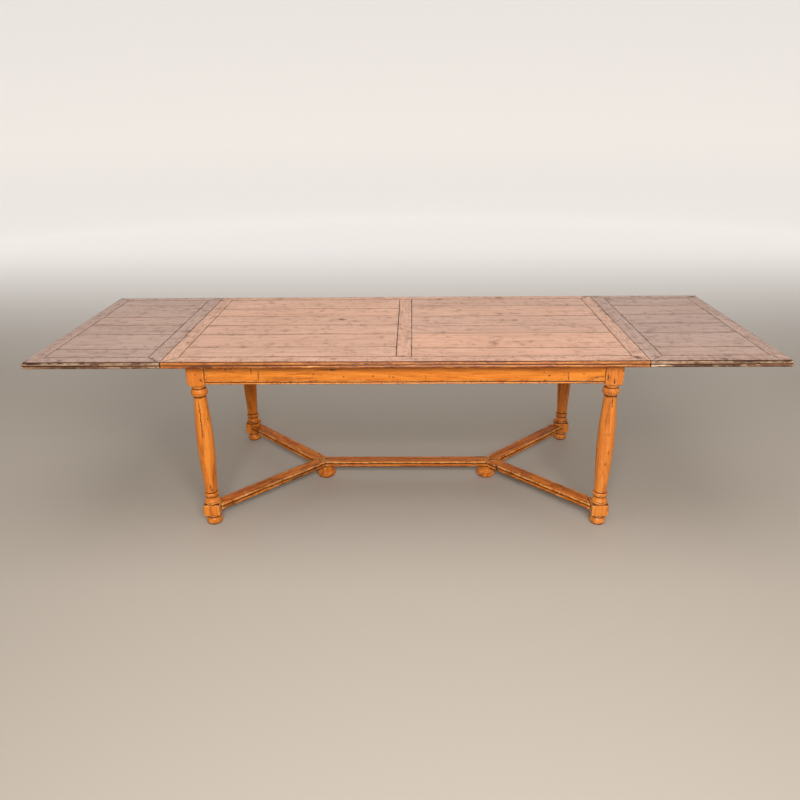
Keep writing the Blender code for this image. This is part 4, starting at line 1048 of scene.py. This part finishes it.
bar_low, bar_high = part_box("stretcher_middle")
stretcher_quirks = ((bar_high.z - 0.0097, 0.0028), (bar_low.z, 0.0060))
stretcher_finish = timber("stretcher_timber", ALONG_X, STRETCHER_LOOK, quirks_and_shade_bands=stretcher_quirks)
node_x = bar_high.x
half_bar = bar_high.y
slant = math.radians(22.5)
bar = taken_from("stretcher_middle", "stretcher_middle_worn")
sliced(bar, (1, 0, 0), even(bar_low.x, bar_high.x, STRETCHER_PITCH))
sliced(bar, (0, 1, 0), [half_bar * share for share in STRETCHER_LINES])
worn(bar, *STRETCHER_WEAR)
near_joints(bar, [
    ((side * node_x, 0, 0), (math.cos(slant), end * math.sin(slant), 0))
    for side in (-1, 1) for end in (-1, 1)
])
finished(bar, stretcher_finish, "frame", ["stretcher_middle"], BAR_TONE)
for side, side_name in ((-1, "left"), (1, "right")):
    for end, end_name in ((-1, "front"), (1, "back")):
        node = f"stretcher_arm_{end_name}_{side_name}"
        low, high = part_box(node)
        arm = taken_from(node, f"{node}_worn")
        along = Vector((side, end, 0)).normalized()
        across = Vector((side, -end, 0)).normalized()
        middle = across.dot(Vector((side * node_x, 0, 0)))
        reach = [along.dot(v.co) for v in arm.data.vertices]
        sliced(arm, along, even(min(reach), max(reach), STRETCHER_PITCH))
        sliced(arm, across, [middle + half_bar * share for share in STRETCHER_LINES])
        worn(arm, *STRETCHER_WEAR)
        near_joints(arm, [
            ((0, 0, 0), (0, 1, 0)),
            ((side * node_x, 0, 0), (side * math.cos(slant), -end * math.sin(slant), 0)),
            ((side * (abs(leg_axis.x) - leg_half), 0, 0), (1, 0, 0)),
            ((0, end * (abs(leg_axis.y) - leg_half), 0), (0, 1, 0)),
        ])
        turn = (0.0, 0.0, math.radians(-45) * side * end)
        finish = timber(f"timber_{node}", turn, STRETCHER_LOOK, quirks_and_shade_bands=stretcher_quirks)
        finished(arm, finish, "frame", [node], dice.uniform(*ARM_TONES))

foot_low, foot_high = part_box("middle_foot_left")
foot_axis = (foot_low + foot_high) / 2
foot_axis.z = 0.0
bun_top = bar_low.z - PLANK_GAP
bun_sides = [(BUN_RADIUS - inwards, bun_top * height) for height, inwards in BUN]
bun_profile = [(0, bun_top), *flowing([(BUN_NECK, bun_top), *bun_sides], 8), (0, 0)]
plain_foot = turned("plain_foot", bun_profile, foot_axis)
bun_quirks = ((0.0, BUN_QUIRK), (bun_top, BUN_QUIRK))
foot_finish = timber("bun_foot_timber", ALONG_Y, STRETCHER_LOOK, quirks_and_shade_bands=bun_quirks)
for side_name in ("left", "right"):
    node = f"middle_foot_{side_name}"
    low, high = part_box(node)
    shift = (low + high) / 2 - (foot_low + foot_high) / 2
    foot = copied(plain_foot, f"{node}_turned", shift)
    worn(foot, *BUN_WEAR)
    finished(foot, foot_finish, "frame", [node], BUN_TONE)
bpy.data.objects.remove(plain_foot)

# ------------------------------------------- lopers, troughs and corner joints
# Plain unstained poplar: pull-out lopers in troughs between cross bearers, stopped by a
# dowel, and corner blocks drawn to the legs by bolts. Brass pins line up the leaves. Only
# the underside and a leaf on its way off show any of them.

INNER_LOOK = {
    "pale": colour(0.60, 0.440, 0.255), "middle": colour(0.50, 0.345, 0.185),
    "dark": colour(0.33, 0.205, 0.100), "rubbed_and_highlight": colour(0.62, 0.470, 0.290),
    "glaze_and_shade": colour(0.13, 0.070, 0.035),
    "rubbed_and_highlight_share": 0.30, "roughness": 0.62, "coat": 0.0, "shine": 0.35, "relief": 0.0008,
    "scuffs": 0.10, "stretch": 0.20, "marks": 0.35, "ticks": 0.3, "speck": 0.10, "rarity": 0.58,
    "grain": 0.8, "tone": 0.06, "line": 0.0,
}
GRAIN_WAYS = {"along": ALONG_X, "across": ALONG_Y, "upright": ALONG_Z}
inner_finish = {
    way: timber(f"inner_timber_{way}", turn, INNER_LOOK) for way, turn in GRAIN_WAYS.items()
}
diagonal = {
    sign: timber(f"inner_timber_diagonal_{name}", (0.0, 0.0, math.radians(45) * sign), INNER_LOOK)
    for sign, name in ((-1, "left"), (1, "right"))
}


def painted(node, material):
    """Give a node of the frame a finish."""
    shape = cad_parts[node].data
    shape.materials.clear()
    shape.materials.append(material)


TARNISH = (140.0, 3.0, 0.6)
TARNISH_RANGE = (0.42, 0.66)
TURNING = (60.0, 2.0)
TURNING_CLOSENESS = 14.0
TURNING_DEPTH = 0.0002


def metal(name, tone, dull, roughness):
    """Return a worn metal finish with fine turning marks and tarnish."""
    material = bpy.data.materials.new(name)
    material.use_nodes = True
    tree = material.node_tree
    shader = tree.nodes["Principled BSDF"]
    place = Signal(tree, None).node("ShaderNodeTexCoord", output="Object")
    tarnish = place.noise(*TARNISH).ramp(*TARNISH_RANGE)
    turning = place.placed(ALONG_X, 1.0, TURNING_CLOSENESS).noise(*TURNING)
    surface = tarnish.tint(tone, dull)
    tree.links.new(surface.socket, shader.inputs["Base Color"])
    gloss = roughness + tarnish * 0.25 + turning * 0.1
    tree.links.new(gloss.socket, shader.inputs["Roughness"])
    bump = turning.node("ShaderNodeBump", {}, {
        "Height": turning, "Distance": TURNING_DEPTH, "Strength": 0.5,
    })
    tree.links.new(bump.socket, shader.inputs["Normal"])
    shader.inputs["Metallic"].default_value = 1.0
    return material


brass = metal("aged_brass", colour(0.72, 0.52, 0.22), colour(0.42, 0.28, 0.12), 0.30)
zinc = metal("zinc_plated_steel", colour(0.62, 0.62, 0.64), colour(0.38, 0.37, 0.36), 0.34)
for label in ("left", "centre", "right"):
    painted(f"cross_bearer_{label}", inner_finish["across"])
for side, side_name in ((-1, "left"), (1, "right")):
    for end, end_name in ((-1, "front"), (1, "back")):
        corner = f"{end_name}_{side_name}"
        painted(f"loper_{corner}", inner_finish["along"])
        painted(f"trough_{corner}", inner_finish["along"])
        painted(f"stop_dowel_{corner}", inner_finish["upright"])
        painted(f"corner_block_{corner}", diagonal[side * end])
        painted(f"leg_bolt_{corner}", zinc)
        painted(f"leaf_{side_name}_pin_{end_name}", brass)
